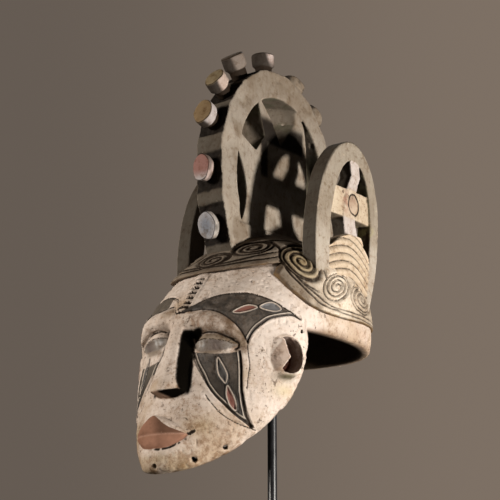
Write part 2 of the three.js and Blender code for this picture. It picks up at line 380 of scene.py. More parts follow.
# The face is drawn flat on the skin, as arc length from the middle and level
crescent = smoothCurve([[-1, 17], [8, 23], [18, 28], [28, 32], [38, 34], [47, 35], [58, 35], [69, 34],
                        [80, 31], [92, 27], [104, 22], [118, 16], [131, 10]], 3)
crescentLow = smoothCurve([[131, 10], [121, 12.5], [110, 11], [97, 7], [89, 2], [82, -4], [77, -12],
                           [75, -18]], 3)
browArch = smoothCurve([[75, -18], [70, -9], [65, -2], [59, 4], [51, 10], [41, 15], [32, 17.5], [22, 19],
                        [12, 18.5], [2, 17]], 3)
leafRight = smoothCurve([[68, -27], [70.5, -37], [72.5, -47], [76, -67], [81, -81], [87, -92], [97, -102]], 3)
leafLeft = smoothCurve([[97, -102], [87, -97.5], [75, -91], [63, -82], [51, -72], [42, -62], [35, -51],
                        [27, -40], [22, -31], [20, -26]], 3)
leafSecond = smoothCurve([[41, -71], [46, -77], [52, -83], [60, -90], [71, -96], [82, -100], [95, -103],
                          [104, -104]], 3)
face = {
    "crescent": np.vstack([crescent, crescentLow, browArch]),
    "leaf": np.vstack([leafRight, leafLeft, [[44, -29.5], [59, -29]]]),
    "almonds": [
        smoothCurve(shape, 4, True) for shape in (
            [[59, 13], [65, 17.5], [71, 20.3], [76, 20.3], [82, 18], [77, 14.8], [71, 12.8], [65, 11.6]],
            [[84, 19], [89, 23], [95, 24], [101, 22], [107, 17], [101, 14.5], [94, 15], [88, 16.5]],
            [[47, -33], [52.5, -40], [56.5, -46], [59.5, -52], [59, -60], [55.5, -57], [50.5, -51],
             [47.5, -42]],
            [[61, -62], [66, -68], [70, -74], [73, -80], [74.5, -87], [69.5, -84.5], [65, -78.5],
             [61.5, -71]])
    ],
    "eye": smoothCurve([[16, -15], [23, -9.5], [31, -7.5], [42, -8.5], [53, -12], [60, -15.5], [66, -21],
                        [60, -25], [50, -27.5], [40, -28.5], [28, -27.5], [20, -23]], 4, True),
    "slit": smoothCurve([[18, -14.5], [25, -13.8], [32, -14], [43, -15.2], [53, -17.2], [60.5, -19.8]], 4),
    "fold": smoothCurve([[17, -13], [23, -8], [31, -6], [42, -7], [53, -11], [60, -14.5], [66.5, -19],
                         [66, -23], [63, -25]], 4),
    "browMiddle": smoothCurve([[10, 6], [15, 5], [24, 6], [33, 5.5], [42, 4], [52, -1], [60, -6.5], [66, -12],
                               [70, -19]], 3),
    "crack": smoothCurve([[75, -21], [77, -31], [80, -42], [80, -52], [81, -65]], 3),
    "farRise": 8.5,        # how much higher the mask's right eye and brow sit
    "farCrescent": 25,     # where the right crescent begins, as arc length
    "scars": 7, "scarLow": 17.5, "scarHigh": 59.0, "scarHalf": 7.0,
}
nose = {
    # levels, ridge in front, half width of the ridge, half width at the foot
    "levels": [-66, -59, -52, -44, -34, -23, -14, -8, 5, 14, 24],
    "ridge": [163, 161.5, 157.5, 153.5, 149.5, 146.5, 144, 141.5, 136, 132, 127],
    "top": [19.6, 17.4, 14.6, 12.6, 11.0, 10.6, 9.8, 9.2, 9.5, 11, 13],
    "foot": [21, 20.6, 20, 19.2, 18, 17.2, 14.5, 12.5, 13, 16, 19],
    "crown": 0.025, "tip": -61.5, "tipFront": 162.5, "underSlope": 0.30, "droop": 5.5, "droopHalf": 20.0,
    "root": 24, "behind": -70,     # it ends at this level, and its body in front of this y
}
lips = {
    "outline": np.vstack([
        smoothCurve([[-31.8, -109.0], [-26, -105.0], [-19, -100.5], [-12, -96.6], [-6, -93.8], [-2.6, -92.2],
                     [0, -91.6], [2.6, -92.2], [6, -94.8], [12, -99.8], [19, -104.2], [26, -107.6],
                     [31.8, -110.3]], 4),
        smoothCurve([[31, -112.3], [26, -117.3], [17, -122.2], [8, -124.0], [0, -123.8], [-8, -124.0],
                     [-17, -122.2], [-26, -117.3], [-31, -112.3]], 4)]),
    "mouth": -110.4, "top": -91.4, "bottom": -123.9, "halfWidth": 32.0,
    "corner": 155.0, "rise": 14.0, "reach": 31.0, "fall": 2.6,   # how far forward the lips stand
}
ear = {
    "outline": smoothCurve([[90, -22], [86, -12], [77, -8], [66, -11], [58, -20], [56, -32], [59, -43],
                            [67, -51], [77, -52], [86, -46], [91, -35]], 5, True),
    "hollow": np.vstack([
        smoothCurve([[82.5, -11.5], [74, -11], [65.5, -16.5], [60.5, -27], [61.5, -38], [67, -44.5],
                     [76, -47], [82.5, -45.5]], 5),
        [[84, -42.5], [74.5, -31], [78.5, -23]]]),
    "flap": [[84, -12], [90, -24], [92, -36], [88, -46], [80, -47], [84, -41], [75, -31], [79, -22]],
    # how far it stands out, how deep it is hollowed, and the half width where it begins
    "rise": 6.5, "deep": 9.0, "from": 66,
}
# sideways, forward, level, radius
pegHoles = [(2, 169, -141, 2.3), (34, 149, -135.5, 3.1), (-34, 149, -135.5, 2.8), (52, 122, -122, 2.4),
            (-52, 122, -122, 2.4), (99, 57, -2, 1.7), (-99, 57, -2, 1.7), (96, 54, -38, 1.5),
            (-96, 54, -38, 1.5)]
scarCount = 2 * math.pi * face["scars"] / (face["scarHigh"] - face["scarLow"])
faceLines = (   # line, depth and width of its cut, width of its dark line
    (crescent, 1.0, 1.1, 0.75), (crescentLow, 1.5, 1.2, 1.0), (browArch, 1.0, 1.2, 0.9),
    (leafRight, 2.4, 1.5, 1.6), (leafLeft, 1.6, 1.1, 1.0), (leafSecond, 0.9, 1.0, 0.55),
    (face["slit"], 1.2, 0.9, 1.0), (face["fold"], 1.2, 1.2, 1.1), (face["crack"], 0.6, 0.9, 0.6))


def farLevel(x, level):
    # the mask's right eye and brow sit higher than the left ones
    share = smoothStep(-5, -18, x) * smoothStep(-52, -30, level) * smoothStep(70, 45, level)
    return level - face["farRise"] * share


def faceForms(arc, level):
    # broad forms: brow roll, socket, lids and the scarred keel
    brow = lineDistance(arc, level, face["browMiddle"])
    width = np.interp(arc, [10, 24, 45, 60, 70], [12, 12, 11, 7.5, 4])
    height = 4.2 * np.clip(1 - (brow / width) ** 2, 0, 1) ** 0.8
    height = height * smoothStep(76, 66, arc)
    socket = 7.5 * bell(arc - 17, 8.5) * bell(level + 11, 10)
    socket = socket + 2.6 * bell(lineDistance(arc, level, face["fold"]), 3.2)
    inEye = -outlineDistance(arc, level, face["eye"])
    lid = 4.6 * np.sqrt(np.clip(inEye / 9, 0, 1))
    keelWidth = np.interp(level, [10, 20, 62, 75], [4, 6.5, 10, 12])
    keel = 4.0 * np.clip(1 - (arc / keelWidth) ** 1.6, 0, 1)
    keel = keel * smoothStep(6, 20, level) * smoothStep(72, 58, level)
    return height - socket + lid + keel


def scarNotch(arc, level):
    # 0 on the blocks, 1 in the notches of the scar row
    wave = 0.5 + 0.5 * np.cos((level - face["scarLow"]) * scarCount + 0.10 * arc)
    row = smoothStep(face["scarHalf"], face["scarHalf"] - 1.6, arc)
    row = row * smoothStep(face["scarLow"] - 3, face["scarLow"], level)
    return row * smoothStep(face["scarHigh"] + 1, face["scarHigh"] - 2, level) * smoothStep(0.34, 0.60, wave)


def faceCuts(arc, level):
    # fine cuts: grooves along the painted shapes, the eye slit, the scar row
    cut = np.zeros_like(arc)
    for line, depth, width, _ in faceLines:
        cut -= depth * bell(lineDistance(arc, level, line), width)
    for line, height, width in ((crescentLow, 0.8, 0.9), (leafLeft, 0.8, 0.8), (leafRight, 0.5, 0.8),
                                (crescent, 0.4, 1.2)):
        cut += height * bell(lineDistance(arc, level, line) - 2.3, width)
    for shape in face["almonds"]:
        edge = outlineDistance(arc, level, shape)
        cut += 0.9 * bell(edge - 0.2, 0.8) - 0.9 * smoothStep(-0.6, -1.8, edge) - 0.6 * bell(edge - 1.9, 0.7)
    slit = outlineDistance(arc, level, face["eye"])
    under = smoothStep(-14, -16, level + 0.12 * (arc - 18)) * smoothStep(0, -2.5, slit)
    cut -= 1.6 * under
    cut -= 4.0 * scarNotch(arc, level)
    beside = 0.8 * bell(arc - face["scarHalf"] - 1.5, 1.0)
    cut += beside * smoothStep(12, 20, level) * smoothStep(64, 58, level)
    return cut


def noseField(x, y, z):
    f = -y
    ridge, top, foot = (np.interp(z, nose["levels"], nose[key]).astype(np.float32)
                        for key in ("ridge", "top", "foot"))
    deep = np.clip((ridge - 4 - f) / np.maximum(ridge - 140, 5), 0, 1.3)
    width = top + (foot - top) * deep
    side = (np.abs(x) - width) * 0.95
    front = f - ridge + nose["crown"] * x * x
    droop = nose["droop"] * np.clip(1 - (x / nose["droopHalf"]) ** 2, 0, 1)
    under = (nose["tip"] - droop - (nose["tipFront"] - f) * nose["underSlope"] - z) * 0.92
    body = blendMax(blendMax(side, front, 3.4), under, 2.6)
    return np.maximum(body, z - nose["root"])


def lipFront(x):
    return lips["corner"] + lips["rise"] * (1 - np.clip(np.abs(x) / lips["reach"], 0, 1) ** lips["fall"])


def lipField(x, y, z):
    f = -y
    ax = np.abs(x)
    front = lipFront(x)
    t = np.clip(ax / lips["reach"], 0, 1)
    top = lips["top"] - 16.5 * t ** 1.1
    bottom = lips["bottom"] + 12.5 * t ** 2.6
    mouth = lips["mouth"]
    w = np.clip((z - mouth) / (top - mouth + 0.01), 0, 1.2)
    upper = blendMax((z - top) * 0.85, f - (front + 1.6 - 1.4 * w ** 2 - 1.6 * (1 - w) ** 6), 1.2)
    upper = blendMax(upper, mouth - 0.2 - z, 1.6)
    w = np.clip((mouth - z) / (mouth - bottom + 0.01), 0, 1.2)
    lower = blendMax((bottom - z) * 0.85, f - (front + 1.2 + 1.6 * w - 4.6 * w ** 3), 2.2)
    lower = blendMax(lower, z - mouth - 0.2, 1.6)
    return np.maximum(np.minimum(upper, lower), ax - lips["halfWidth"])


def makeHead():
    step = shell["step"]
    low = shell["headLow"]
    x, y, z = makeGrid(low, shell["headHigh"], step)
    skin = skinGrid(x, y, z)
    half, middle, front, power = (shellValue(c, z[:, 0]) for c in (1, 2, 3, 5))
    side = np.clip(np.abs(x[:, 0]) / half, 0, 0.9999)
    faceY = -(middle + (front - middle) * (1 - side ** power) ** (1 / power))
    arc = skinArc(x[:, 0], faceY, z[:, 0])
    level = np.broadcast_to(z[:, 0], arc.shape).astype(float)
    forms = faceForms(arc, farLevel(x[:, 0], level)) * (side < 0.995)
    forms = forms + 3.0 * smoothStep(-12, -24, x[:, 0]) * bell(level - 12, 12) * smoothStep(80, 60, arc)
    forward = smoothStep(20, 45, -y)
    outer = skin - forms[:, None, :].astype(np.float32) * forward
    outer = blendMin(outer, np.maximum(noseField(x, y, z), y - nose["behind"]), 2.4)
    outer = blendMin(outer, lipField(x, y, z).astype(np.float32), 1.2)
    rim, hollow = sideOutline(y, z, ear["outline"]), sideOutline(y, z, ear["hollow"])
    height = ear["rise"] * np.clip(1 - np.clip(rim + 4, 0, 4) / 9, 0, 1)
    lobe = blendMax(skin - height, rim, 3.0)
    outer = blendMin(outer, lobe, 2.0)
    outer = blendMax(outer, -np.maximum(hollow * 0.95, -(skin + ear["deep"])), 0.9)
    solid = blendMax(outer, -(skin + shell["wall"]), 2.5)
    solid = blendMax(solid, -sideOutline(y, z, jawOutline), 3.2 + 4.0 * smoothStep(110, 150, -y))
    for hx, hf, hz, radius in pegHoles:
        outward = np.array([hx, -(hf - 60), (hz + 60) * 0.4])
        outward /= np.linalg.norm(outward)
        p = [x - hx, y + hf, z - hz]
        along = p[0] * outward[0] + p[1] * outward[1] + p[2] * outward[2]
        across = np.sqrt(np.maximum(p[0] ** 2 + p[1] ** 2 + p[2] ** 2 - along ** 2, 0))
        solid = blendMax(solid, -np.maximum(across - radius, np.abs(along) - 18), 0.6)

    def relief(points, normals):
        px, py, pz = points.T
        arc = skinArc(px, py, pz)
        near = skinAt(points)
        onSkin = smoothStep(-3, 0, near)
        apart = (noseField(px, py, pz) > 1.0) & (lipField(px, py, pz) > 0.8)
        flat = farLevel(px, pz)
        cuts = faceCuts(arc + 0.5 * softNoise(points, 14, 5), flat + 0.5 * softNoise(points, 14, 6))
        cuts = cuts * onSkin * smoothStep(30, 50, -py) * apart
        wave = 0.6 * softNoise(points, 22, 11) + 0.3 * softNoise(points, 8, 12)
        wave = wave + 0.12 * softNoise(points, 4, 18)
        rough = softNoise(points, 30, 14) > -0.25
        pit = np.clip(softNoise(points, 3.6, 13) - 0.42, 0, 1) * 1.5 * rough
        pit = pit + np.clip(softNoise(points, 2.8, 15) - 0.5, 0, 1) * 1.8
        lost = smoothStep(0.30, 0.42, roughNoise(points, 17, 16)) * 0.30
        jaw = outlineDistance(-py, pz, jawOutline)
        nick = smoothStep(6, 1, jaw) * np.clip(roughNoise(points, 9, 17) - 0.1, 0, 1) * 1.6
        return cuts + wave * onSkin - (pit + lost) * onSkin * apart - nick * smoothStep(-6, 0, near)

    def isPlain(points):
        return skinAt(points) < -5

    return carve("maskHead", solid, low, step, relief, shell["headShare"], isPlain)


clay = {
    "white": (0.63, 0.54, 0.47),
    "warm": (0.44, 0.33, 0.23),
    "brow": (0.18, 0.13, 0.09),
    "brown": (0.17, 0.095, 0.05),
    "soot": (0.010, 0.008, 0.006),
    "inside": (0.035, 0.022, 0.013),
    "ball": (0.26, 0.23, 0.20),
    "ballDark": (0.115, 0.088, 0.080),
    "glint": (0.60, 0.60, 0.60),
    "lid": (0.17, 0.125, 0.08),
    "earHollowShade": (0.024, 0.007, 0.004),
    "earEdge": (0.105, 0.036, 0.022),
    "lobe": (0.10, 0.085, 0.045),
    "yellow": (0.47, 0.38, 0.20),
    "ochre": (0.33, 0.24, 0.12),
    "pink": (0.66, 0.52, 0.45),
    "underNoseShade": (0.26, 0.165, 0.115), "nostrilShade": (0.09, 0.055, 0.035), "underEye": (0.24, 0.19, 0.145),
    "flap": (0.22, 0.15, 0.11), "chin": (0.22, 0.155, 0.085),
}


def linesOnFace(arc, level):
    # dark share of the cut lines
    dark = np.zeros(len(arc))
    for line, _, _, width in faceLines:
        dark = np.maximum(dark, bell(lineDistance(arc, level, line), width))
    return np.maximum(dark, scarNotch(arc, level))


def paintHead(piece, field, low, step):
    points, normals, cavity, edge = hollows(piece, field, low, step)
    px, py, pz = points.T
    ax = np.abs(px)
    arc = skinArc(px, py, pz)
    near = skinAt(points)
    onFace = smoothStep(25, 45, -py)
    wobble = 0.7 * softNoise(points, 9, 21)
    colours = coat(clay["white"], len(points))
    stain = roughNoise(points, 40, 31, 4)
    lay(colours, clay["warm"], smoothStep(0.0, 0.9, stain) * 0.8)
    pinkish = smoothStep(0.1, 0.8, roughNoise(points, 30, 33)) * smoothStep(75, 95, arc)
    lay(colours, clay["pink"], pinkish * 0.7)
    lowFace = smoothStep(-72, -104, pz) * smoothStep(12, 34, arc) * smoothStep(135, 80, arc)
    lay(colours, clay["warm"], (0.60 + 0.45 * softNoise(points, 16, 34)) * lowFace)
    chinHere = smoothStep(-122, -136, pz) * onFace
    lay(colours, clay["ochre"], (0.35 + 0.4 * softNoise(points, 10, 37)) * chinHere)
    mouthSide = bell(arc - 46, 14) * bell(pz + 103, 9)
    lay(colours, clay["ochre"], mouthSide * 0.5)
    flat = farLevel(px, pz)
    brow = lineDistance(arc, flat, face["browMiddle"])
    onBrow = smoothStep(15, 8, brow) * smoothStep(9, 30, arc) * smoothStep(84, 70, arc)
    onBrow = onBrow * smoothStep(-20, 0, px)
    browTone = np.clip(0.55 + 0.5 * roughNoise(points, 12, 35), 0, 1)
    lay(colours, clay["brow"], onBrow * browTone * onFace * 1.2)
    isNose = np.maximum(noseField(px, py, pz), py - nose["behind"]) < 1.2
    ridgeTop = isNose * smoothStep(-48, -64, pz)
    lay(colours, clay["warm"], ridgeTop * (0.35 + 0.5 * softNoise(points, 9, 36)))
    # the black shapes and the painted shade beside the nose
    inCrescent = -outlineDistance(arc, flat, face["crescent"])
    inCrescent = np.where(px < 0, np.minimum(inCrescent, arc - face["farCrescent"]), inCrescent)
    inLeaf = -outlineDistance(arc, pz, face["leaf"]) - 3.0 * smoothStep(0, -15, px)
    blackDistance = np.maximum(inCrescent, inLeaf)
    blackDistance = np.where(onFace > 0.5, blackDistance, -9)
    # painted shade: the nose's side walls, the inner corner of the mask's left eye and the left half of the
    # nose's underside go near black
    wall = np.interp(pz, nose["levels"], nose["top"])
    foot = np.interp(pz, nose["levels"], nose["foot"])
    hook = 3.5 * bell(pz + 8, 5)
    reach = foot + 1.2 + hook
    sooty = smoothStep(wall - 1.6, wall - 0.2, ax) * smoothStep(reach + 2.0, reach, ax + 0.4 * wobble)
    sooty = sooty * smoothStep(-0.5, -3.5, pz) * smoothStep(-71, -66, pz)
    sooty = sooty * (near > -3) * (py < nose["behind"])
    corner = np.hypot((arc - 19) / 10.5, (pz + 6.0 - 0.30 * (arc - 19)) / 5.0)
    corner = smoothStep(1.0, 0.6, corner) * (px > 0)
    # painted shade: the nose's underside is painted darker brown, with a dark nostril mark on the mask's
    # right
    below = isNose * smoothStep(-0.25, -0.55, normals[:, 2]) * (pz < -58)
    underShade = below * smoothStep(-1.0, 4.5, px + 0.35 * (-py - 155))
    lay(colours, clay["underNoseShade"], below * 0.85)
    lay(colours, clay["nostrilShade"], below * bell(px + 13, 4) * 0.8)
    soot = np.clip(np.maximum(np.maximum(sooty, corner * onFace), underShade), 0, 1)
    # eyes
    inEye = -outlineDistance(arc, flat, face["eye"])
    aboveSlit = flat - np.interp(arc, [18, 32, 43, 53, 61], [-14.5, -14, -15.2, -17.2, -20])
    lidShare = smoothStep(-1, 1.0, inEye) * smoothStep(-0.5, 0.5, aboveSlit) * smoothStep(-30, 0, px)
    lay(colours, clay["lid"], lidShare * 0.85)
    ball = smoothStep(0.6, 1.6, inEye) * smoothStep(0.4, -0.4, aboveSlit) * smoothStep(-27, -25.2, flat)
    lay(colours, clay["ball"], ball)
    lay(colours, clay["ballDark"], ball * bell(arc - 44, 10) * 0.8)
    # painted highlight: two small pale spots on the eyeball
    glint = np.maximum(bell(arc - 26, 2.2) * bell(flat + 18.5, 2.6),
                       bell(arc - 30.5, 1.6) * bell(flat + 19, 3.0))
    lay(colours, clay["glint"], ball * glint * 0.9)
    lines = linesOnFace(arc + 0.12 * wobble, flat + 0.12 * wobble)
    underEye = smoothStep(0, 1.5, inEye) * smoothStep(-25, -26.5, flat)
    underEye = underEye + bell(flat + 29, 2.2) * bell(arc - 38, 20)
    lay(colours, clay["underEye"], underEye * smoothStep(62, 50, arc) * 0.9)
    marks = [np.where(onFace > 0.5, -outlineDistance(arc, flat, shape), -9) for shape in face["almonds"]]
    paleEdge = np.minimum.reduce([lineDistance(arc, flat, line)
                                  for line in (crescentLow, leafLeft, leafRight)])
    paleEdge = np.where(blackDistance > 0, paleEdge, -paleEdge)
    # lips
    lip = -outlineDistance(px + 0.3 * wobble, pz + 0.3 * wobble, lips["outline"])
    onLip = (-py > lipFront(px) - 3.5) & (pz < -86) & (near > -3)
    lip = np.where(onLip, lip, -9)
    ragged = softNoise(points, 3.0, 42) > -0.1
    # painted shade along the lower lip's lower edge, broken where the paint is chipped
    lipUnderShade = bell(outlineDistance(px, pz, lips["outline"]) - 0.8, 1.3) * smoothStep(-112, -117, pz)
    lipUnderShade = lipUnderShade * (-py > 146) * np.clip(0.35 + smoothStep(-6, 8, px) * ragged, 0, 1)
    lines = np.maximum(lines, lipUnderShade)
    pit = np.hypot((ax - 34) * 0.8, (pz + 109.2 - 0.5 * (ax - 34)) * 1.2)
    lines = np.maximum(lines, smoothStep(3.2, 2.0, pit) * (-py > 140))
    # painted shade on the mask's left half of the upper lip
    lipShade = smoothStep(-2, 10, px) * smoothStep(lips["mouth"] - 0.5, lips["mouth"] + 1.5, pz)
    parting = bell(pz - lips["mouth"], 0.8) * (lip > 0)
    # ears, edges and the inside
    ef = -py
    hollow = -outlineDistance(ef, pz, ear["hollow"])
    inEar = smoothStep(-0.6, 0.5, hollow) * (ax > ear["from"]) * (near > -11)
    lay(colours, clay["earEdge"], inEar)
    # painted shade deeper in the ear's hollow, over its red-brown paint
    lay(colours, clay["earHollowShade"], inEar * smoothStep(0.5, 3.5, hollow))
    # a darker band along the ear's lower edge
    earLowEdge = bell(ef - 76, 12) * bell(pz + 50.5, 4.0) * (ax > ear["from"]) * smoothStep(-6, -1, near)
    lay(colours, clay["lobe"], earLowEdge * 0.95 * (1 - inEar))
    flap = smoothStep(0, 1, -outlineDistance(ef, pz, ear["flap"])) * (ax > 60)
    lay(colours, clay["flap"], flap * 0.7)
    yellow = bell(ef - 74, 14) * bell(pz + 64, 7) * (ax > 60)
    lay(colours, clay["yellow"], yellow * 0.6)
    inner = smoothStep(-4.0, -7.5, near) * (1 - inEar)
    jaw = outlineDistance(ef, pz, jawOutline)
    rimEdge = smoothStep(4.2, 0.6, jaw + 1.5 * wobble) * (1 - inner)
    lay(colours, clay["brown"], rimEdge * 0.6 * smoothStep(-0.5, 0.5, softNoise(points, 14, 51)))
    chin = smoothStep(-136, -146, pz) * smoothStep(-0.5, 0.4, roughNoise(points, 12, 52)) * (1 - inner)
    lay(colours, clay["chin"], chin * 0.6)
    backEdge = smoothStep(9, 2, pz) * smoothStep(40, 25, ef) * (1 - inner)
    lay(colours, clay["brown"], backEdge * 0.6)
    # the inside of the helmet is painted near black: dark wood, darkened further as painted shade
    lay(colours, clay["inside"], inner)
    # painted shade beside the nose
    lay(colours, clay["soot"], soot * (1 - inner))
    # painted shade in closed-in hollows; with the dark cut lines it makes the layer of soiling and shade
    cavity = np.clip(cavity * 1.2 - 0.25, 0, 1) * (1 - inner)
    cavity = cavity * (1 - bell(pz + 90, 5) * (-py > 140))
    band = smoothStep(150, 190, arc) * smoothStep(30, 18, pz) * (1 - inner)
    lay(colours, clay["warm"], band * (0.45 + 0.4 * softNoise(points, 13, 53)))
    redMark, blueMark, darkMark, lowMark = (np.where(inner > 0.5, -9, mark) for mark in marks)
    grime = 0.25 + 0.55 * lowFace + 0.5 * chinHere + 0.6 * onBrow + 0.1 * isNose
    grime = grime + 0.35 * softNoise(points, 24, 38)
    dirt = np.clip(np.maximum(lines * 0.98, cavity * 0.65), 0, 1)
    store(piece, paint=colours, dirt=dirt * (1 - inner) * (1 - ball), wear=edge,
          clay=(1 - inner) * (1 - soot) * (1 - ball * 0.8), grime=np.clip(grime, 0, 1) * (1 - inner),
          blackPaint=np.where(inner > 0.5, -9, blackDistance + wobble * 0.25),
          paleEdge=np.where(inner > 0.5, -9, paleEdge + 0.25 * wobble),
          leafShade=smoothStep(-28, -70, flat), farWorn=smoothStep(0, -15, px), soot=soot,
          lipPaint=lip, lipShade=lipShade, parting=parting,
          redMark=np.maximum(redMark, lowMark), blueMark=blueMark, darkMark=darkMark)


# The hair cap. Lines and spirals lie flat on the skin too, as arc length and level, plus on the mask's left
hairLine = [[73, 57], [68, 42], [54, 29], [34, 22], [0, 20], [-60, 23], [-160, 28]]
hairClosing = [[-200, 30], [-200, 200], [140, 200], [140, 65], [95, 65], [60, 72]]
hairOutline = np.vstack([smoothCurve(hairLine, 4), hairClosing])
hair = {
    "rise": 4.6, "sink": 3.0, "backDrop": 2.4,    # it lies lower at the back
    "farShift": 14,        # how much further back its edge lies on the mask's right
    "low": (-114.0, -106.0, 14.0), "high": (114, 142, 134),
    "step": 1.25,
    "share": 0.62,
    # arc length, level, half length, half width, tilt in degrees, turns, direction
    "spirals": [(36, 92, 18, 10.5, -4, 2.6, 1), (98, 75, 37, 13, -33, 3.1, 1),
                (161, 52, 20, 17, -14, 3.2, -1), (214, 48, 28, 15.5, -16, 3.3, 1),
                (268, 50, 21, 16, 8, 3.2, -1), (315, 52, 20, 16, -6, 3.2, 1),
                (168, 86, 20, 12, -6, 2.8, 1), (214, 86, 20, 12, 5, 2.8, -1), (256, 84, 17, 12, 0, 2.8, 1)],
    "middle": (2, 80.5, 18, 8.5, 0, 2.2, -1),
    "lines": [
        smoothCurve([[77, 73], [100, 55], [117, 44], [135, 34], [152, 27], [187, 24], [229, 24],
                     [345, 26]], 3),
        smoothCurve([[70, 82], [93, 64], [114, 49], [133, 39], [153, 31], [173, 27], [196, 27.5],
                     [345, 31]], 3),
        smoothCurve([[42, 103], [60, 93], [68, 85], [86, 71], [104, 57], [119, 47], [138, 40]], 3),
        smoothCurve([[-26, 76], [10, 70], [44, 72], [60, 74], [72, 78]], 3),
        smoothCurve([[-11, 73.5], [17, 73], [39, 76], [55, 81], [65, 86]], 3),
        smoothCurve([[20, 100], [44, 106], [66, 104], [88, 96], [112, 82], [134, 66], [144, 54]], 3),
    ],
    "depth": 2.3, "lineWidth": 1.25,
}


def hairGrooves(points):
    # how deep in a groove each point is, how far it lies inside the cap's edge, and inside a spiral
    px, py, pz = points.T
    edge = -outlineDistance(-py + farShift(px), pz, hairOutline)
    arc = skinArc(px, py, pz) + 0.7 * softNoise(points, 15, 61)
    level = pz - hair["rise"] * 0.4 + 0.7 * softNoise(points, 15, 62)
    best = np.zeros(len(points))
    for line in hair["lines"]:
        best = np.maximum(best, bell(lineDistance(arc, level, line), hair["lineWidth"]))
    inSpiral = np.zeros(len(points))
    signed = np.where(px < 0, -arc, arc)
    spirals = [hair["middle"]] + hair["spirals"]
    for number, (at, high, long, wide, tilt, turns, way) in enumerate(spirals):
        c, s = math.cos(math.radians(tilt)), math.sin(math.radians(tilt))
        u, v = (signed if number == 0 else arc) - at, level - high
        u, v = (u * c + v * s) / long, (v * c - u * s) / wide
        radius = np.hypot(u, v)
        turn = np.arctan2(v, u) * way / (2 * math.pi)
        gap = np.abs((radius * turns - turn + 0.5) % 1 - 0.5) / turns * np.minimum(long, wide)
        within = smoothStep(1.02, 0.97, radius)
        groove = bell(gap, hair["lineWidth"]) * within * smoothStep(0.06, 0.16, radius)
        ring = bell((radius - 1.03) * wide, 1.1)
        best = np.maximum(best * (1 - within), np.maximum(groove, ring))
        inSpiral = np.maximum(inSpiral, within)
    crown = smoothStep(112, 118, pz)
    return best * (1 - crown), edge, inSpiral


def farShift(x):
    return hair["farShift"] * smoothStep(-10, -60, x)


def makeHair():
    step = hair["step"]
    low = hair["low"]
    x, y, z = makeGrid(low, hair["high"], step)
    skin = skinGrid(x, y, z)
    near = sideOutline(y, z, hairOutline)
    far = sideOutline(y - hair["farShift"], z, hairOutline)
    share = farShift(x) / hair["farShift"]
    region = near * (1 - share) + far * share
    rise = hair["rise"] - hair["backDrop"] * smoothStep(40, 100, y)
    solid = blendMax(blendMax(skin - rise, region, 1.6), -(skin + hair["sink"]), 1.0)

    def relief(points, normals):
        groove, edge, _ = hairGrooves(points)
        outside = smoothStep(2.0, 3.6, skinAt(points)) * smoothStep(0.6, 2.0, edge)
        wave = 0.5 * softNoise(points, 20, 71) + 0.25 * softNoise(points, 6, 72)
        chip = np.clip(softNoise(points, 5, 73) - 0.5, 0, 1) * 1.4
        return (wave - chip - hair["depth"] * groove) * outside

    def isPlain(points):
        return (skinAt(points) < 2.0) | (points[:, 2] > 112) | (points[:, 0] < -30)

    return carve("maskHair", solid, low, step, relief, hair["share"], isPlain)


hairPaint = {
    "dark": (0.105, 0.080, 0.060),
    "grey": (0.20, 0.165, 0.128),
    "pale": (0.42, 0.35, 0.27),
    "cream": (0.66, 0.57, 0.46),
    "edge": (0.20, 0.125, 0.055),
    "yellow": (0.36, 0.28, 0.16),
}


def paintHair(piece, field, low, step):
    points, normals, cavity, edge = hollows(piece, field, low, step)
    px, py, pz = points.T
    groove, rim, inSpiral = hairGrooves(points)
    arc = skinArc(px, py, pz)
    patch = roughNoise(points, 26, 81)
    colours = coat(hairPaint["dark"], len(points))
    lay(colours, hairPaint["grey"], np.clip(0.45 + 0.8 * patch, 0, 1))
    worn = smoothStep(70, 118, arc) * smoothStep(112, 84, pz)
    lay(colours, hairPaint["pale"], np.clip(worn * (0.85 + 0.5 * patch), 0, 1))
    creamy = smoothStep(120, 145, arc) * smoothStep(225, 185, arc) * smoothStep(-0.8, 0.1, patch)
    lay(colours, hairPaint["cream"], creamy * 0.9)
    longOne = bell(arc - 98, 34) * bell(pz - 75 + 0.65 * (arc - 98), 15)
    lay(colours, hairPaint["yellow"], longOne * 0.85 * inSpiral)
    # painted shade on the wall of the cap's edge: dark all round, brown where it shows on the mask's left
    edgeWallShade = smoothStep(1.4, 0.2, rim)
    seen = smoothStep(40, 70, arc) * (px > 0) * smoothStep(-0.4, 0.3, softNoise(points, 8, 82))
    lay(colours, hairPaint["dark"], edgeWallShade * 0.8)
    lay(colours, hairPaint["edge"], edgeWallShade * seen * 0.8)
    # grooves and closed-in hollows darken, as soiling and painted shade
    dirt = np.clip(np.maximum(groove * (0.95 - 0.22 * worn), cavity * 0.7 - 0.15), 0, 1)
    store(piece, paint=colours, dirt=dirt, wear=edge, clay=worn * 0.7, grime=0.45)


# The arched plate along the middle. Outlines are forward, level
def archOutline(centre, halfLength, spring, rise, drop, floor, lean, steps=60):
    low = math.asin(max(-1.0, min(1.0, (floor - spring) / drop)))
    points = []
    for n in range(steps + 1):
        angle = low + (math.pi - 2 * low) * n / steps
        up = math.sin(angle) * (rise if 0 < angle < math.pi else drop)
        points.append([centre - lean * up + halfLength * math.cos(angle), spring + up])
    return np.array(points)


def quadCurve(a, b, c, steps=12):
    t = np.linspace(0, 1, steps)[:, None]
    return (1 - t) ** 2 * np.array(a) + 2 * t * (1 - t) * np.array(b) + t ** 2 * np.array(c)


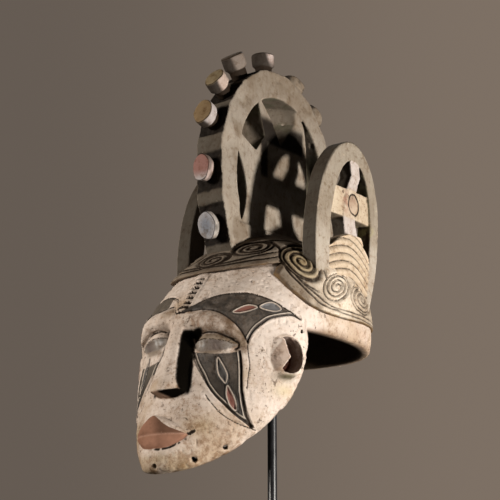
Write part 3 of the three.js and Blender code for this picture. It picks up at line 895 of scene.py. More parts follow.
crest = {
    "half": 17.5, "panelHalf": 15.5, "rimWidth": 6, "floor": 76,
    "low": (-21.0, -94.0, 62.0), "high": (21, 126, 322),
    "centre": -16, "halfLength": 104, "waist": 190, "rise": 127, "drop": 166,
    "arch": (-20, 76, 200, 85, 900, 128),
    "kite": [[56, 230], [25, 216], [9, 235], [22, 275], [40, 300], [80, 280]],
    "notch": [[-20, 231], [-47, 264], [-49, 310], [14, 310], [14, 275], [-4, 256]],
    "backGap": [[-57, 280], [-64, 262], [-69, 230], [-69, 135], [-120, 135], [-120, 320], [-57, 320]],
    "notchSkew": 0.65,
    "knobAngles": [-24.5, -3.5, 21.5, 41.5, 61, 86, 113, 134, 156, 181, 204],
    "bandDepth": 2.4,
    "step": 1.1,
    "share": 0.40,
}
leafHole = np.vstack([quadCurve([57, 207], [31, 168], [50, 132]), quadCurve([50, 132], [66, 170], [57, 207])])


def crestArch(inwards, steps):
    # the plate's outline, or one lying further in
    size = (crest[key] - inwards for key in ("rise", "drop", "floor"))
    return archOutline(crest["centre"], crest["halfLength"] - inwards, crest["waist"], *size, 0, steps)


crestOutline = crestArch(0, 90)
crestInner = crestArch(crest["rimWidth"], 40)


def edgeAngle(f, h):
    # angle round the plate's edge, in degrees, as the knobs count it
    up = h - crest["waist"]
    high = np.where(up > 0, crest["rise"], crest["drop"])
    return np.degrees(np.arctan2(up / high, (f - crest["centre"]) / crest["halfLength"])) % 360


def knobGap(angle):
    # how far an angle is from the nearest knob, in degrees
    gaps = [np.abs((angle - knob + 180) % 360 - 180) for knob in crest["knobAngles"]]
    return np.minimum.reduce(gaps)


def makeCrest():
    step = crest["step"]
    low = crest["low"]
    x, y, z = makeGrid(low, crest["high"], step)
    f, h = np.meshgrid(-y[0, :, 0], z[0, 0, :], indexing="ij")
    plate = outlineDistance(f, h, crestOutline)
    angle = edgeAngle(f, h)
    band = smoothStep(9.0, 6.5, knobGap(angle)) * smoothStep(-34, -30, (angle + 180) % 360 - 180)
    centre, half, spring, rise, drop, sill = crest["arch"]
    arch = outlineDistance(f, h, archOutline(centre, half, spring, rise, drop, sill, 0, 50))
    wide = outlineDistance(f, h, archOutline(centre, half + 4, spring, rise + 4, drop, sill - 4, 0, 50))
    leaf = outlineDistance(f, h, leafHole)
    holes = np.minimum.reduce([outlineDistance(f, h, crest[name]) for name in ("kite", "backGap")] + [leaf])
    flat = (plate, arch, wide, holes, band, leaf)
    plate, arch, wide, holes, band, leaf = (a[None].astype(np.float32) for a in flat)
    waist = smoothStep(6, 15, np.abs(x))
    cut = plate + crest["bandDepth"] * band * (1 - 0.6 * waist)
    slab = blendMax(cut, np.abs(x) - crest["half"], 1.8)
    slab = blendMax(slab, -arch, 1.6)
    panel = blendMax(wide, np.abs(x) - crest["panelHalf"], 1.2)
    panel = blendMax(panel, -holes, 1.4)
    skewed = np.broadcast_to(-y + crest["notchSkew"] * (x - crest["panelHalf"]), slab.shape)
    notch = outlineDistance(skewed, np.broadcast_to(z, slab.shape), crest["notch"]).astype(np.float32)
    panel = blendMax(panel, -notch * 0.9, 1.4)
    solid = blendMin(slab, panel, 1.0)
    solid = blendMax(solid, -leaf, 1.4)
    solid = np.maximum(solid, -(skinGrid(x, y, z) + 8))

    def relief(points, normals):
        wave = 0.6 * softNoise(points, 26, 91) + 0.28 * softNoise(points, 9, 92)
        px, py, pz = points.T
        rough = smoothStep(8.5, 6, knobGap(edgeAngle(-py, pz))) * (np.abs(normals[:, 0]) < 0.5)
        rough = rough * (outlineDistance(-py, pz, crestInner) > 0)
        chip = np.clip(softNoise(points, 7, 94) - 0.45, 0, 1) * 2.2
        return wave - chip - rough * 0.9 * np.clip(softNoise(points, 3.2, 93) + 0.3, 0, 1)

    def isPlain(points):
        return points[:, 0] < -15

    return carve("maskCrest", solid, low, step, relief, crest["share"], isPlain)


crestPaint = {
    "face": (0.250, 0.213, 0.172),
    "light": (0.345, 0.30, 0.245),
    "brown": (0.155, 0.115, 0.078),
    "edge": (0.072, 0.060, 0.046),
    "dark": (0.010, 0.007, 0.005),
    "green": (0.11, 0.105, 0.068),
    "inside": (0.15, 0.125, 0.098),
}


def paintCrest(piece, field, low, step):
    points, normals, cavity, edge = hollows(piece, field, low, step)
    px, py, pz = points.T
    colours = coat(crestPaint["face"], len(points))
    lay(colours, crestPaint["light"], smoothStep(-0.3, 0.8, roughNoise(points, 40, 101)) * 0.6)
    lay(colours, crestPaint["light"], smoothStep(230, 120, pz) * 0.35)
    lay(colours, crestPaint["brown"], smoothStep(0.15, 0.8, roughNoise(points, 18, 104)) * 0.6)
    sideways = smoothStep(0.75, 0.45, np.abs(normals[:, 0]))
    # the plate's edge faces are painted dark, partly as painted shade
    lay(colours, crestPaint["edge"], sideways * 0.9)
    angle = edgeAngle(-py, pz)
    outer = outlineDistance(-py, pz, crestInner) > 0
    around = (angle + 180) % 360 - 180
    band = smoothStep(8.6, 7.6, knobGap(angle) + 0.5 * softNoise(points, 5, 102)) * outer * sideways
    band = band * ((around > -33) | (around < -147))
    lay(colours, crestPaint["inside"], sideways * ~outer)
    green = sideways * ~outer * smoothStep(-0.2, 0.6, roughNoise(points, 14, 103))
    lay(colours, crestPaint["green"], green * 0.6)
    lay(colours, crestPaint["dark"], band * 0.97)
    # painted shadow on the middle panel's near face, above and in front of the hoop's cast shadow
    panelShadow = (np.abs(px) < 16.5) * smoothStep(0.3, 0.8, normals[:, 0])
    panelShadow = panelShadow * smoothStep(19, 15, -py) * smoothStep(-63, -58, -py)
    high = smoothStep(226, 231, pz) * smoothStep(262, 252, pz)
    left = smoothStep(3, 6, -py) * smoothStep(186, 192, pz) * smoothStep(262, 252, pz)
    lay(colours, crestPaint["dark"], panelShadow * np.maximum(high, left) * 0.97)
    lay(colours, crestPaint["brown"], smoothStep(255, 300, pz) * 0.45 * (1 - sideways))
    # closed-in hollows darken as painted shade
    store(piece, paint=colours, dirt=np.clip(cavity * 1.2 - 0.3, 0, 1) * 0.95, wear=edge * (1 - band),
          clay=0, grime=0.30)


# The hoops at the sides, drawn forward and level; the fan's ribs stand on its foot
hoop = {
    "inside": 77, "outside": 95, "webFace": 92,
    "low": (68.0, -36.0, 22.0), "high": (102, 112, 232),
    "outline": (-33, 58, 125, 101, 140, 36, 0.11),
    "eye": (-38, 37, 125, 80, 300, 30, 0.11),
    "bar": [[8, 138], [-85, 138], [-85, 171], [8, 171]],
    "strut": [[-40, 214], [-57, 214], [-60, 188], [-50, 168], [-47, 140], [-53, 116], [-30, 116], [-25, 140],
              [-31, 168], [-43, 188]],
    "fan": [[-30, 119], [-53, 119], [-62, 110], [-72, 96], [-76, 50], [8, 50], [4, 98], [-14, 112]],
    "boss": (91, 45, 155), "bossRadii": (5.5, 10.5, 11.5),
    "ribPitch": 8.4, "ribDepth": 3.4,
    "step": 1.1,
    "share": 0.6,
}


def ribPhase(f, h):
    # height above the arched rib lines of the fan, in ribs; they fall towards the back
    sag = ((f + 30) / 40.0) ** 2
    return (h + 12.0 * sag + 7 * np.clip(-(f + 30) / 40, 0, 1.3)) / hoop["ribPitch"]


def makeHoop(side):
    step = hoop["step"]
    low = hoop["low"]
    x, y, z = makeGrid(low, hoop["high"], step)
    f, h = np.meshgrid(-y[0, :, 0], z[0, 0, :], indexing="ij")
    ring = outlineDistance(f, h, archOutline(*hoop["outline"]))
    eye = outlineDistance(f, h, archOutline(*hoop["eye"]))
    shapes = [ring, eye] + [outlineDistance(f, h, hoop[name]) for name in ("bar", "strut", "fan")]
    ring, eye, barShape, strut, fan = (a[None].astype(np.float32) for a in shapes)
    mid = (hoop["inside"] + hoop["outside"]) / 2
    wide = (hoop["outside"] - hoop["inside"]) / 2
    frameRing = blendMax(blendMax(ring, np.abs(x - mid) - wide, 2.0), -eye, 1.6)
    bow = 2.0 * (1 - ((-y + 38) / 40) ** 2)
    web = (hoop["inside"] + hoop["webFace"]) / 2
    thick = (hoop["webFace"] - hoop["inside"]) / 2
    bar = blendMax(barShape, np.abs(x - web - bow / 2) - thick - bow / 2 + 0.5, 1.6)
    brace = blendMax(strut, np.abs(x - web - 1.0) - thick - 0.6 - 1.4 * bell(z - 155, 26), 1.4)
    rib = np.abs(np.cos(ribPhase(-y, z) * math.pi))
    bulge = 2.0 + 4.5 * np.clip(1 - ((-y + 36) / 44) ** 2, 0, 1) * smoothStep(40, 80, z)
    ribbed = blendMax(fan, np.abs(x - web) - thick - bulge + hoop["ribDepth"] * (1 - rib ** 0.7), 1.2)
    boss = blob(x, y, z, hoop["boss"], hoop["bossRadii"])
    solid = np.minimum(np.minimum(frameRing, brace), blendMax(ribbed, ring + 1, 1.0))
    solid = blendMin(solid, bar, 0.8)
    solid = blendMin(solid, boss, 0.8)
    solid = np.maximum(solid, -(skinGrid(x, y, z) + 8))

    def relief(points, normals):
        seen = points * [side, 1, 1]
        chip = np.clip(softNoise(seen, 7, 113) - 0.5, 0, 1) * 1.8
        around = blob(np.abs(points[:, 0]), points[:, 1], points[:, 2], hoop["boss"], hoop["bossRadii"])
        ring = bell(around - 0.6, 0.9) * (np.abs(points[:, 0]) > 90)
        return 0.5 * softNoise(seen, 22, 111) + 0.25 * softNoise(seen, 8, 112) - chip - 0.8 * ring

    def isPlain(points):
        return points[:, 0] * side < 80

    if side < 0:
        solid = solid[::-1].copy()
        low = (-low[0] - step * (solid.shape[0] - 1), low[1], low[2])
    name = "maskHoopLeft" if side > 0 else "maskHoopRight"
    return carve(name, solid, low, step, relief, hoop["share"], isPlain)


hoopPaint = {
    "face": (0.275, 0.235, 0.185),
    "leg": (0.40, 0.35, 0.29),
    "edge": (0.044, 0.037, 0.029),
    "shade": (0.022, 0.018, 0.014),
    "cream": (0.52, 0.43, 0.32),
    "barUnderShade": (0.16, 0.125, 0.09),
    "strut": (0.50, 0.44, 0.41),
    "fan": (0.52, 0.42, 0.31),
    "stain": (0.30, 0.15, 0.10),
    "moss": (0.17, 0.155, 0.10),
    "mossLight": (0.36, 0.33, 0.14),
    "inner": (0.105, 0.075, 0.05),
    "topRim": (0.06, 0.048, 0.036),
    "boss": (0.33, 0.215, 0.15),
}


def paintHoop(piece, field, low, step):
    points, normals, cavity, edge = hollows(piece, field, low, step)
    px, py, pz = points.T
    f = -py
    ax = np.abs(px)
    outward = normals[:, 0] * np.sign(px)
    colours = coat(hoopPaint["face"], len(points))
    patch = roughNoise(points, 34, 121)
    lay(colours, hoopPaint["leg"], np.clip(smoothStep(150, 70, pz) * 0.9 + 0.3 * patch, 0, 1))
    sideways = smoothStep(0.75, 0.45, np.abs(normals[:, 0]))
    eye = outlineDistance(f, pz, archOutline(*hoop["eye"]))
    rim = outlineDistance(f, pz, archOutline(*hoop["outline"]))
    # the ring's edge faces are painted dark, partly as painted shade
    lay(colours, hoopPaint["edge"], sideways * 0.9)
    topRim = smoothStep(-2.6, -1.0, rim) * smoothStep(168, 186, pz) * (f > -60)
    lay(colours, hoopPaint["topRim"], topRim * 0.8)
    inEye = smoothStep(0.6, -0.6, eye)
    isBar = inEye * smoothStep(1, -1, outlineDistance(f, pz, hoop["bar"]))
    isStrut = inEye * smoothStep(0.8, -0.4, outlineDistance(f, pz, hoop["strut"])) * (outward > 0.2)
    isFan = inEye * smoothStep(1, -1, outlineDistance(f, pz, hoop["fan"])) * (outward > -0.2)
    lay(colours, hoopPaint["cream"], isBar * 0.95)
    # painted shade on the bar's underside
    lay(colours, hoopPaint["barUnderShade"], isBar * smoothStep(-0.3, -0.8, normals[:, 2]))
    lay(colours, hoopPaint["strut"], isStrut * (1 - isBar * 0.8) * 0.85)
    lay(colours, hoopPaint["fan"], isFan * 0.95)
    # painted shade on the eye's inner edge faces, low down at the back
    lay(colours, hoopPaint["inner"], sideways * (np.abs(eye) < 3) * (pz < 140) * (f < -40) * 0.8)
    mossy = smoothStep(1.5, -0.5, np.abs(eye) - 1) * sideways
    mossy = mossy * smoothStep(-0.45, 0.2, roughNoise(points, 9, 122))
    lay(colours, hoopPaint["moss"], mossy * 0.9 * (f < -40) * (pz > 130))
    spot = bell(f + 72, 7) * bell(pz - 132, 6) * smoothStep(-0.3, 0.3, softNoise(points, 4, 123))
    lay(colours, hoopPaint["mossLight"], spot * 0.9)
    smear = bell(f + 30, 4.5) * bell(pz - 156, 13) * isBar * smoothStep(-0.6, 0.2, softNoise(points, 5, 124))
    lay(colours, hoopPaint["stain"], smear * 0.85)
    # painted shade on the faces turned towards the crest
    inward = smoothStep(-0.2, -0.7, outward) * (px < 0) + smoothStep(-0.6, -0.9, outward) * (px > 0)
    lay(colours, hoopPaint["shade"], inward * 0.9)
    bossHere = blob(ax, py, pz, hoop["boss"], hoop["bossRadii"])
    line = bell(bossHere - 0.7, 0.8) * (outward > 0.1) * (ax > 88)
    lay(colours, hoopPaint["boss"], (bossHere < 0.4) * (0.55 + 0.4 * softNoise(points, 5, 125)))
    # painted shade between the fan's ribs, in the ring round the boss and in closed-in hollows
    ribShade = isFan * smoothStep(0.60, 0.15, np.abs(np.cos(ribPhase(f, pz) * math.pi)))
    dirt = np.maximum.reduce([cavity * 1.15 - 0.35, ribShade * 0.62, line * 0.85])
    store(piece, paint=colours, dirt=np.clip(dirt, 0, 1), wear=edge, clay=isBar, grime=0.30)


# The knobs round the plate's edge, numbered from the lowest in front over the top to the back
knob = {
    "halfWidth": 13.0, "halfHeight": 17.0, "thickness": 12.0, "stand": 7.0, "taper": 0.84, "sunk": 3.0,
    "faces": [(0.21, 0.225, 0.26), (0.26, 0.135, 0.115), (0.22, 0.155, 0.085), (0.20, 0.155, 0.092),
              (0.085, 0.066, 0.048), (0.065, 0.056, 0.048), (0.12, 0.10, 0.08), (0.14, 0.115, 0.09),
              (0.11, 0.09, 0.07), (0.15, 0.12, 0.09), (0.10, 0.10, 0.11)],
    "walls": [(0.36, 0.33, 0.30), (0.36, 0.28, 0.25), (0.42, 0.38, 0.37), (0.42, 0.33, 0.28),
              (0.20, 0.165, 0.14), (0.46, 0.38, 0.35), (0.20, 0.16, 0.12), (0.20, 0.16, 0.12),
              (0.22, 0.18, 0.14), (0.22, 0.18, 0.14), (0.22, 0.19, 0.16)],
    "tilts": [4, -5, 3, 14, -4, 6, -8, 5, -3, 4, -6],
    "wallDarkAndShade": (0.040, 0.032, 0.026), "palePatch": (0.42, 0.40, 0.40),
    "lift": [0, 0, 0, 3, 6, 3, 0, 0, 0, 0, 0],
    "shadedBelow": [0.35, 0.35, 0.35, 0.5, 0.55, 0.85, 0.6, 0.6, 0.6, 0.6, 0.6],
}


def namedValue(tree, name, kind):
    node = tree.nodes.new("GeometryNodeInputNamedAttribute")
    node.data_type = kind
    node.inputs["Name"].default_value = name
    return node.outputs["Attribute"]


def knobTree(material):
    # drums instanced on the points of the plate's edge, turned by the directions the points carry
    tree = bpy.data.node_groups.new("knobsOnEdge", "GeometryNodeTree")
    for way in ("INPUT", "OUTPUT"):
        tree.interface.new_socket("Geometry", in_out=way, socket_type="NodeSocketGeometry")
    sockets = {}
    for name in ("Half Width", "Half Height", "Taper"):
        sockets[name] = tree.interface.new_socket(name, in_out="INPUT", socket_type="NodeSocketFloat")
    make, link = tree.nodes.new, tree.links.new
    start, end = make("NodeGroupInput"), make("NodeGroupOutput")
    drum = make("GeometryNodeMeshCone")
    drum.inputs["Vertices"].default_value = 72
    drum.inputs["Side Segments"].default_value = 14
    drum.inputs["Fill Segments"].default_value = 14
    drum.inputs["Radius Top"].default_value = 1.0
    drum.inputs["Depth"].default_value = 1.0
    centred = make("GeometryNodeTransform")
    centred.inputs["Translation"].default_value = (0, 0, -0.5)
    onPoints = make("GeometryNodeInstanceOnPoints")
    size = make("ShaderNodeCombineXYZ")
    keep = make("GeometryNodeStoreNamedAttribute")
    keep.domain = "INSTANCE"
    keep.data_type = "FLOAT"
    keep.inputs["Name"].default_value = "knobNumber"
    real = make("GeometryNodeRealizeInstances")
    paint = make("GeometryNodeSetMaterial")
    paint.inputs["Material"].default_value = material
    link(start.outputs["Taper"], drum.inputs["Radius Bottom"])
    link(drum.outputs["Mesh"], centred.inputs["Geometry"])
    link(start.outputs["Geometry"], onPoints.inputs["Points"])
    link(centred.outputs["Geometry"], onPoints.inputs["Instance"])
    link(namedValue(tree, "turn", "FLOAT_VECTOR"), onPoints.inputs["Rotation"])
    link(start.outputs["Half Width"], size.inputs["X"])
    link(start.outputs["Half Height"], size.inputs["Y"])
    link(namedValue(tree, "deep", "FLOAT"), size.inputs["Z"])
    link(size.outputs["Vector"], onPoints.inputs["Scale"])
    link(onPoints.outputs["Instances"], keep.inputs["Geometry"])
    link(namedValue(tree, "which", "FLOAT"), keep.inputs["Value"])
    link(keep.outputs["Geometry"], real.inputs["Geometry"])
    link(real.outputs["Geometry"], paint.inputs["Geometry"])
    link(paint.outputs["Geometry"], end.inputs["Geometry"])
    return tree, sockets


def makeKnobs(material):
    spots, turns, depths = [], [], []
    for number, degrees in enumerate(crest["knobAngles"]):
        angle = math.radians(degrees)
        high = crest["rise"] if 0 < degrees < 180 else crest["drop"]
        f = crest["centre"] + crest["halfLength"] * math.cos(angle)
        h = crest["waist"] + high * math.sin(angle)
        out = Vector((0, -math.cos(angle) / crest["halfLength"], math.sin(angle) / high)).normalized()
        stand = knob["stand"] * float(smoothStep(crest["waist"] - 20, crest["waist"] + 40, h))
        depth = knob["thickness"] + stand + knob["sunk"] + knob["lift"][number]
        middle = Vector((0, -f, h)) + out * (depth / 2 - knob["sunk"])
        across = Vector((1, 0, 0))
        basis = Matrix((across, out.cross(across), out)).transposed()
        basis = basis @ Matrix.Rotation(math.radians(knob["tilts"][number]), 3, "Z")
        spots.append((np.array(middle) + place) / 1000)
        turns.append(basis.to_euler())
        depths.append(depth / 1000)
    mesh = bpy.data.meshes.new("knobPoints")
    mesh.from_pydata([tuple(s) for s in spots], [], [])
    directions = np.array([list(t) for t in turns], np.float32).ravel()
    mesh.attributes.new("turn", "FLOAT_VECTOR", "POINT").data.foreach_set("vector", directions)
    piece = bpy.data.objects.new("maskKnobs", mesh)
    store(piece, deep=depths, which=range(len(spots)))
    bpy.context.scene.collection.objects.link(piece)
    tree, sockets = knobTree(material)
    nodes = piece.modifiers.new("knobs", "NODES")
    nodes.node_group = tree
    for name, value in (("Half Width", knob["halfWidth"] / 1000), ("Half Height", knob["halfHeight"] / 1000),
                        ("Taper", knob["taper"])):
        nodes[sockets[name].identifier] = value
    graph = bpy.context.evaluated_depsgraph_get()
    solid = bpy.data.meshes.new_from_object(piece.evaluated_get(graph))
    piece.modifiers.clear()
    piece.data = solid
    shapeKnobs(piece, spots, turns, depths)
    return piece


def shapeKnobs(piece, spots, turns, depths):
    # uneven rims, slightly domed faces and knife facets; the paint, with painted shade on walls and necks,
    # goes on in the same pass
    mesh = piece.data
    count = len(mesh.vertices)
    number = np.zeros(count, np.float32)
    mesh.attributes["knobNumber"].data.foreach_get("value", number)
    number = np.rint(number).astype(int)
    world = readVertices(mesh, "co")
    colours = np.zeros((count, 3))
    dirt, wear = np.zeros(count), np.zeros(count)
    for n, (spot, turn, depth) in enumerate(zip(spots, turns, depths)):
        mine = number == n
        basis = np.array(turn.to_matrix())
        local = (world[mine] - spot) @ basis * 1000
        half = depth * 500
        u, v, w = local[:, 0] / knob["halfWidth"], local[:, 1] / knob["halfHeight"], local[:, 2]
        radius = np.hypot(u, v)
        rise = (w + half) / (2 * half)
        limit = knob["taper"] + (1 - knob["taper"]) * rise
        rim = np.clip((radius / limit - 0.86) / 0.14, 0, 1)
        topShare = smoothStep(0.62, 1.0, rise)
        noise = softNoise(world[mine] * 1000, 11, 130 + n)
        around = np.arctan2(v, u)
        uneven = 0.045 * np.sin(2 * around + n * 1.7) + 0.03 * np.sin(3 * around + n * 2.9)
        squeeze = 0.96 - 0.05 * rim * topShare - 0.03 * noise - np.abs(uneven) * radius
        squeeze = squeeze * (1 - 0.22 * smoothStep(0.50, 0.38, rise))
        facet = softNoise(world[mine] * 1000, 17, 150 + n)
        domed = w + topShare * (0.9 * (1 - radius ** 2) - 1.5 * rim ** 2 + 1.1 * facet)
        local = np.stack([local[:, 0] * squeeze, local[:, 1] * squeeze, domed], 1)
        world[mine] = local @ basis.T / 1000 + spot
        onFace = smoothStep(0.965, 0.995, rise) * smoothStep(0.99, 0.93, radius / limit)
        # painted shade on the knobs' walls, all but their side towards the mask's left, with dark patches at
        # random
        shadedBelow = knob["shadedBelow"][n]
        shadeAndPatches = smoothStep(shadedBelow + 0.15, shadedBelow - 0.15, u + 0.2 * noise)
        shadeAndPatches = np.clip(shadeAndPatches + 0.6 * smoothStep(0.1, 0.5, noise), 0, 1)
        shade = coat(knob["walls"][n], int(mine.sum()))
        lay(shade, knob["wallDarkAndShade"], shadeAndPatches * (1 - onFace))
        lay(shade, knob["faces"][n], onFace)
        if n == 1:
            lay(shade, knob["palePatch"], onFace * smoothStep(-0.1, -0.9, v) * 0.9)
        if n == 0:
            lay(shade, knob["palePatch"], onFace * smoothStep(0.2, 0.9, radius) * 0.6)
        colours[mine] = shade
        # painted shade: a dark line round each knob's face and a dark neck where the drum meets the plate
        outline = bell(radius / limit - 0.93, 0.035) * smoothStep(0.93, 0.99, rise) * 0.85
        dirt[mine] = np.maximum(outline, smoothStep(0.46, 0.38, rise))
        wear[mine] = bell(rise - 0.97, 0.03) * (radius / limit > 0.97) * 0.7
    mesh.vertices.foreach_set("co", world.astype(np.float32).ravel())
    mesh.attributes.remove(mesh.attributes["knobNumber"])
    mesh.polygons.foreach_set("use_smooth", np.ones(len(mesh.polygons), bool))
    mesh.update()
    store(piece, paint=colours, dirt=dirt, wear=wear, clay=0, grime=0.4)
    print("maskKnobs", count, "points")


# Finishes
def addNode(tree, kind, **settings):
    node = tree.nodes.new(kind)
    for name, value in settings.items():
        setattr(node, name, value)
    return node


def feed(tree, socket, value):
    if isinstance(value, bpy.types.NodeSocket):
        tree.links.new(value, socket)
    else:
        socket.default_value = value


def noiseAt(tree, where, scale, detail=4.0, rough=0.6):
    node = addNode(tree, "ShaderNodeTexNoise")
    feed(tree, node.inputs["Vector"], where)
    node.inputs["Scale"].default_value = scale
    node.inputs["Detail"].default_value = detail
    node.inputs["Roughness"].default_value = rough
    return node.outputs["Fac"]


def ramp(tree, value, low, high):
    node = addNode(tree, "ShaderNodeMapRange", interpolation_type="SMOOTHSTEP")
    feed(tree, node.inputs["Value"], value)
    node.inputs["From Min"].default_value = low
    node.inputs["From Max"].default_value = high
    return node.outputs["Result"]


def maths(tree, kind, a, b=0.0, c=0.0):
    node = addNode(tree, "ShaderNodeMath", operation=kind)
    for socket, value in zip(node.inputs, (a, b, c)):
        feed(tree, socket, value)
    return node.outputs[0]


def times(tree, a, b):
    return maths(tree, "MULTIPLY", a, b)


def mixColour(tree, share, a, b, blend="MIX"):
    node = addNode(tree, "ShaderNodeMix", data_type="RGBA", blend_type=blend)
    feed(tree, node.inputs[0], share)
    for socket, value in ((node.inputs[6], a), (node.inputs[7], b)):
        feed(tree, socket, value if isinstance(value, bpy.types.NodeSocket) else (*value, 1.0))
    return node.outputs[2]


def darker(tree, share, colour, tint):
    # the colour multiplied by a tint, by a share
    return mixColour(tree, share, colour, mixColour(tree, 1.0, colour, tint, "MULTIPLY"))


def attribute(tree, name, colour=False):
    node = addNode(tree, "ShaderNodeAttribute", attribute_name=name)
    return node.outputs["Color"] if colour else node.outputs["Fac"]


def startMaterial(name):
    material = bpy.data.materials.new(name)
    material.use_nodes = True
    tree = material.node_tree
    tree.nodes.clear()
    out = addNode(tree, "ShaderNodeOutputMaterial")
    shader = addNode(tree, "ShaderNodeBsdfPrincipled")
    tree.links.new(shader.outputs[0], out.inputs[0])
    where = addNode(tree, "ShaderNodeTexCoord").outputs["Object"]
    return material, tree, shader, where


def bumpInto(tree, shader, height, distance, strength=1.0):
    node = addNode(tree, "ShaderNodeBump")
    node.inputs["Distance"].default_value = distance
    node.inputs["Strength"].default_value = strength
    feed(tree, node.inputs["Height"], height)
    tree.links.new(node.outputs[0], shader.inputs["Normal"])


def stripe(tree, value, middle, half, soft):
    # 1 within a narrow range of the value
    return ramp(tree, maths(tree, "ABSOLUTE", maths(tree, "SUBTRACT", value, middle)), half + soft, half)


faceTones = {
    "black": (0.034, 0.028, 0.023), "blackWorn": (0.125, 0.100, 0.080), "blackSpeck": (0.075, 0.050, 0.032),
    "blackFar": (0.15, 0.125, 0.095), "blackLow": (0.022, 0.017, 0.013),
    "paleLine": (0.46, 0.39, 0.32), "cutLine": (0.016, 0.012, 0.009),
    "markEdge": (0.018, 0.014, 0.011), "markRim": (0.48, 0.40, 0.33),
    "redMark": (0.17, 0.070, 0.052), "blueMark": (0.13, 0.125, 0.125), "darkMark": (0.060, 0.054, 0.050),
    "lip": (0.34, 0.175, 0.115), "lipBrown": (0.23, 0.115, 0.072), "lipShade": (0.135, 0.068, 0.042),
    "parting": (0.42, 0.26, 0.19),
}
woodTones = {
    "wash": (0.66, 0.56, 0.46), "spot": (0.46, 0.34, 0.24), "grain": (0.55, 0.47, 0.38),
    "chip": (0.085, 0.05, 0.028), "crack": (0.14, 0.09, 0.055), "dirt": (0.018, 0.011, 0.0065),
    "soot": (0.0035, 0.0028, 0.002), "rubbed": (1.45, 1.38, 1.28),
}


def facePaint(tree, where, colour, broad, fine):
    # the painted shapes of the face, from their distances in millimetres
    jitter = maths(tree, "SUBTRACT", fine, 0.5)

    def ragged(name, amount):
        return maths(tree, "MULTIPLY_ADD", jitter, amount, attribute(tree, name))

    def over(under, share, tone):
        return mixColour(tree, share, under, faceTones[tone])

    blackShare = ramp(tree, ragged("blackPaint", 1.8), -0.3, 0.35)
    worn = ramp(tree, noiseAt(tree, where, 60, 7, 0.75), 0.38, 0.66)
    black = mixColour(tree, worn, faceTones["black"], faceTones["blackWorn"])
    black = over(black, times(tree, ramp(tree, fine, 0.5, 0.62), 0.45), "blackSpeck")
    black = over(black, times(tree, attribute(tree, "farWorn"), 0.45), "blackFar")
    black = over(black, times(tree, attribute(tree, "leafShade"), 0.85), "blackLow")
    colour = mixColour(tree, blackShare, colour, black)
    edge = ragged("paleEdge", 0.7)
    colour = over(colour, times(tree, stripe(tree, edge, 2.2, 0.25, 0.5), 0.8), "paleLine")
    colour = over(colour, times(tree, stripe(tree, edge, 3.4, 0.35, 0.5), 0.85), "cutLine")
    for name in ("redMark", "blueMark", "darkMark"):
        mark = ragged(name, 0.6)
        colour = over(colour, times(tree, stripe(tree, mark, -1.3, 0.4, 0.5), 0.7), "markEdge")
        colour = over(colour, times(tree, stripe(tree, mark, 0.1, 0.35, 0.45), 0.8), "markRim")
        colour = over(colour, ramp(tree, mark, 0.6, 1.0), name)
    lip = mixColour(tree, ramp(tree, broad, 0.35, 0.7), faceTones["lip"], faceTones["lipBrown"])
    lip = over(lip, attribute(tree, "lipShade"), "lipShade")
    lip = over(lip, times(tree, attribute(tree, "parting"), 0.55), "parting")
    colour = mixColour(tree, ramp(tree, ragged("lipPaint", 1.0), -0.2, 0.5), colour, lip)
    return colour, blackShare


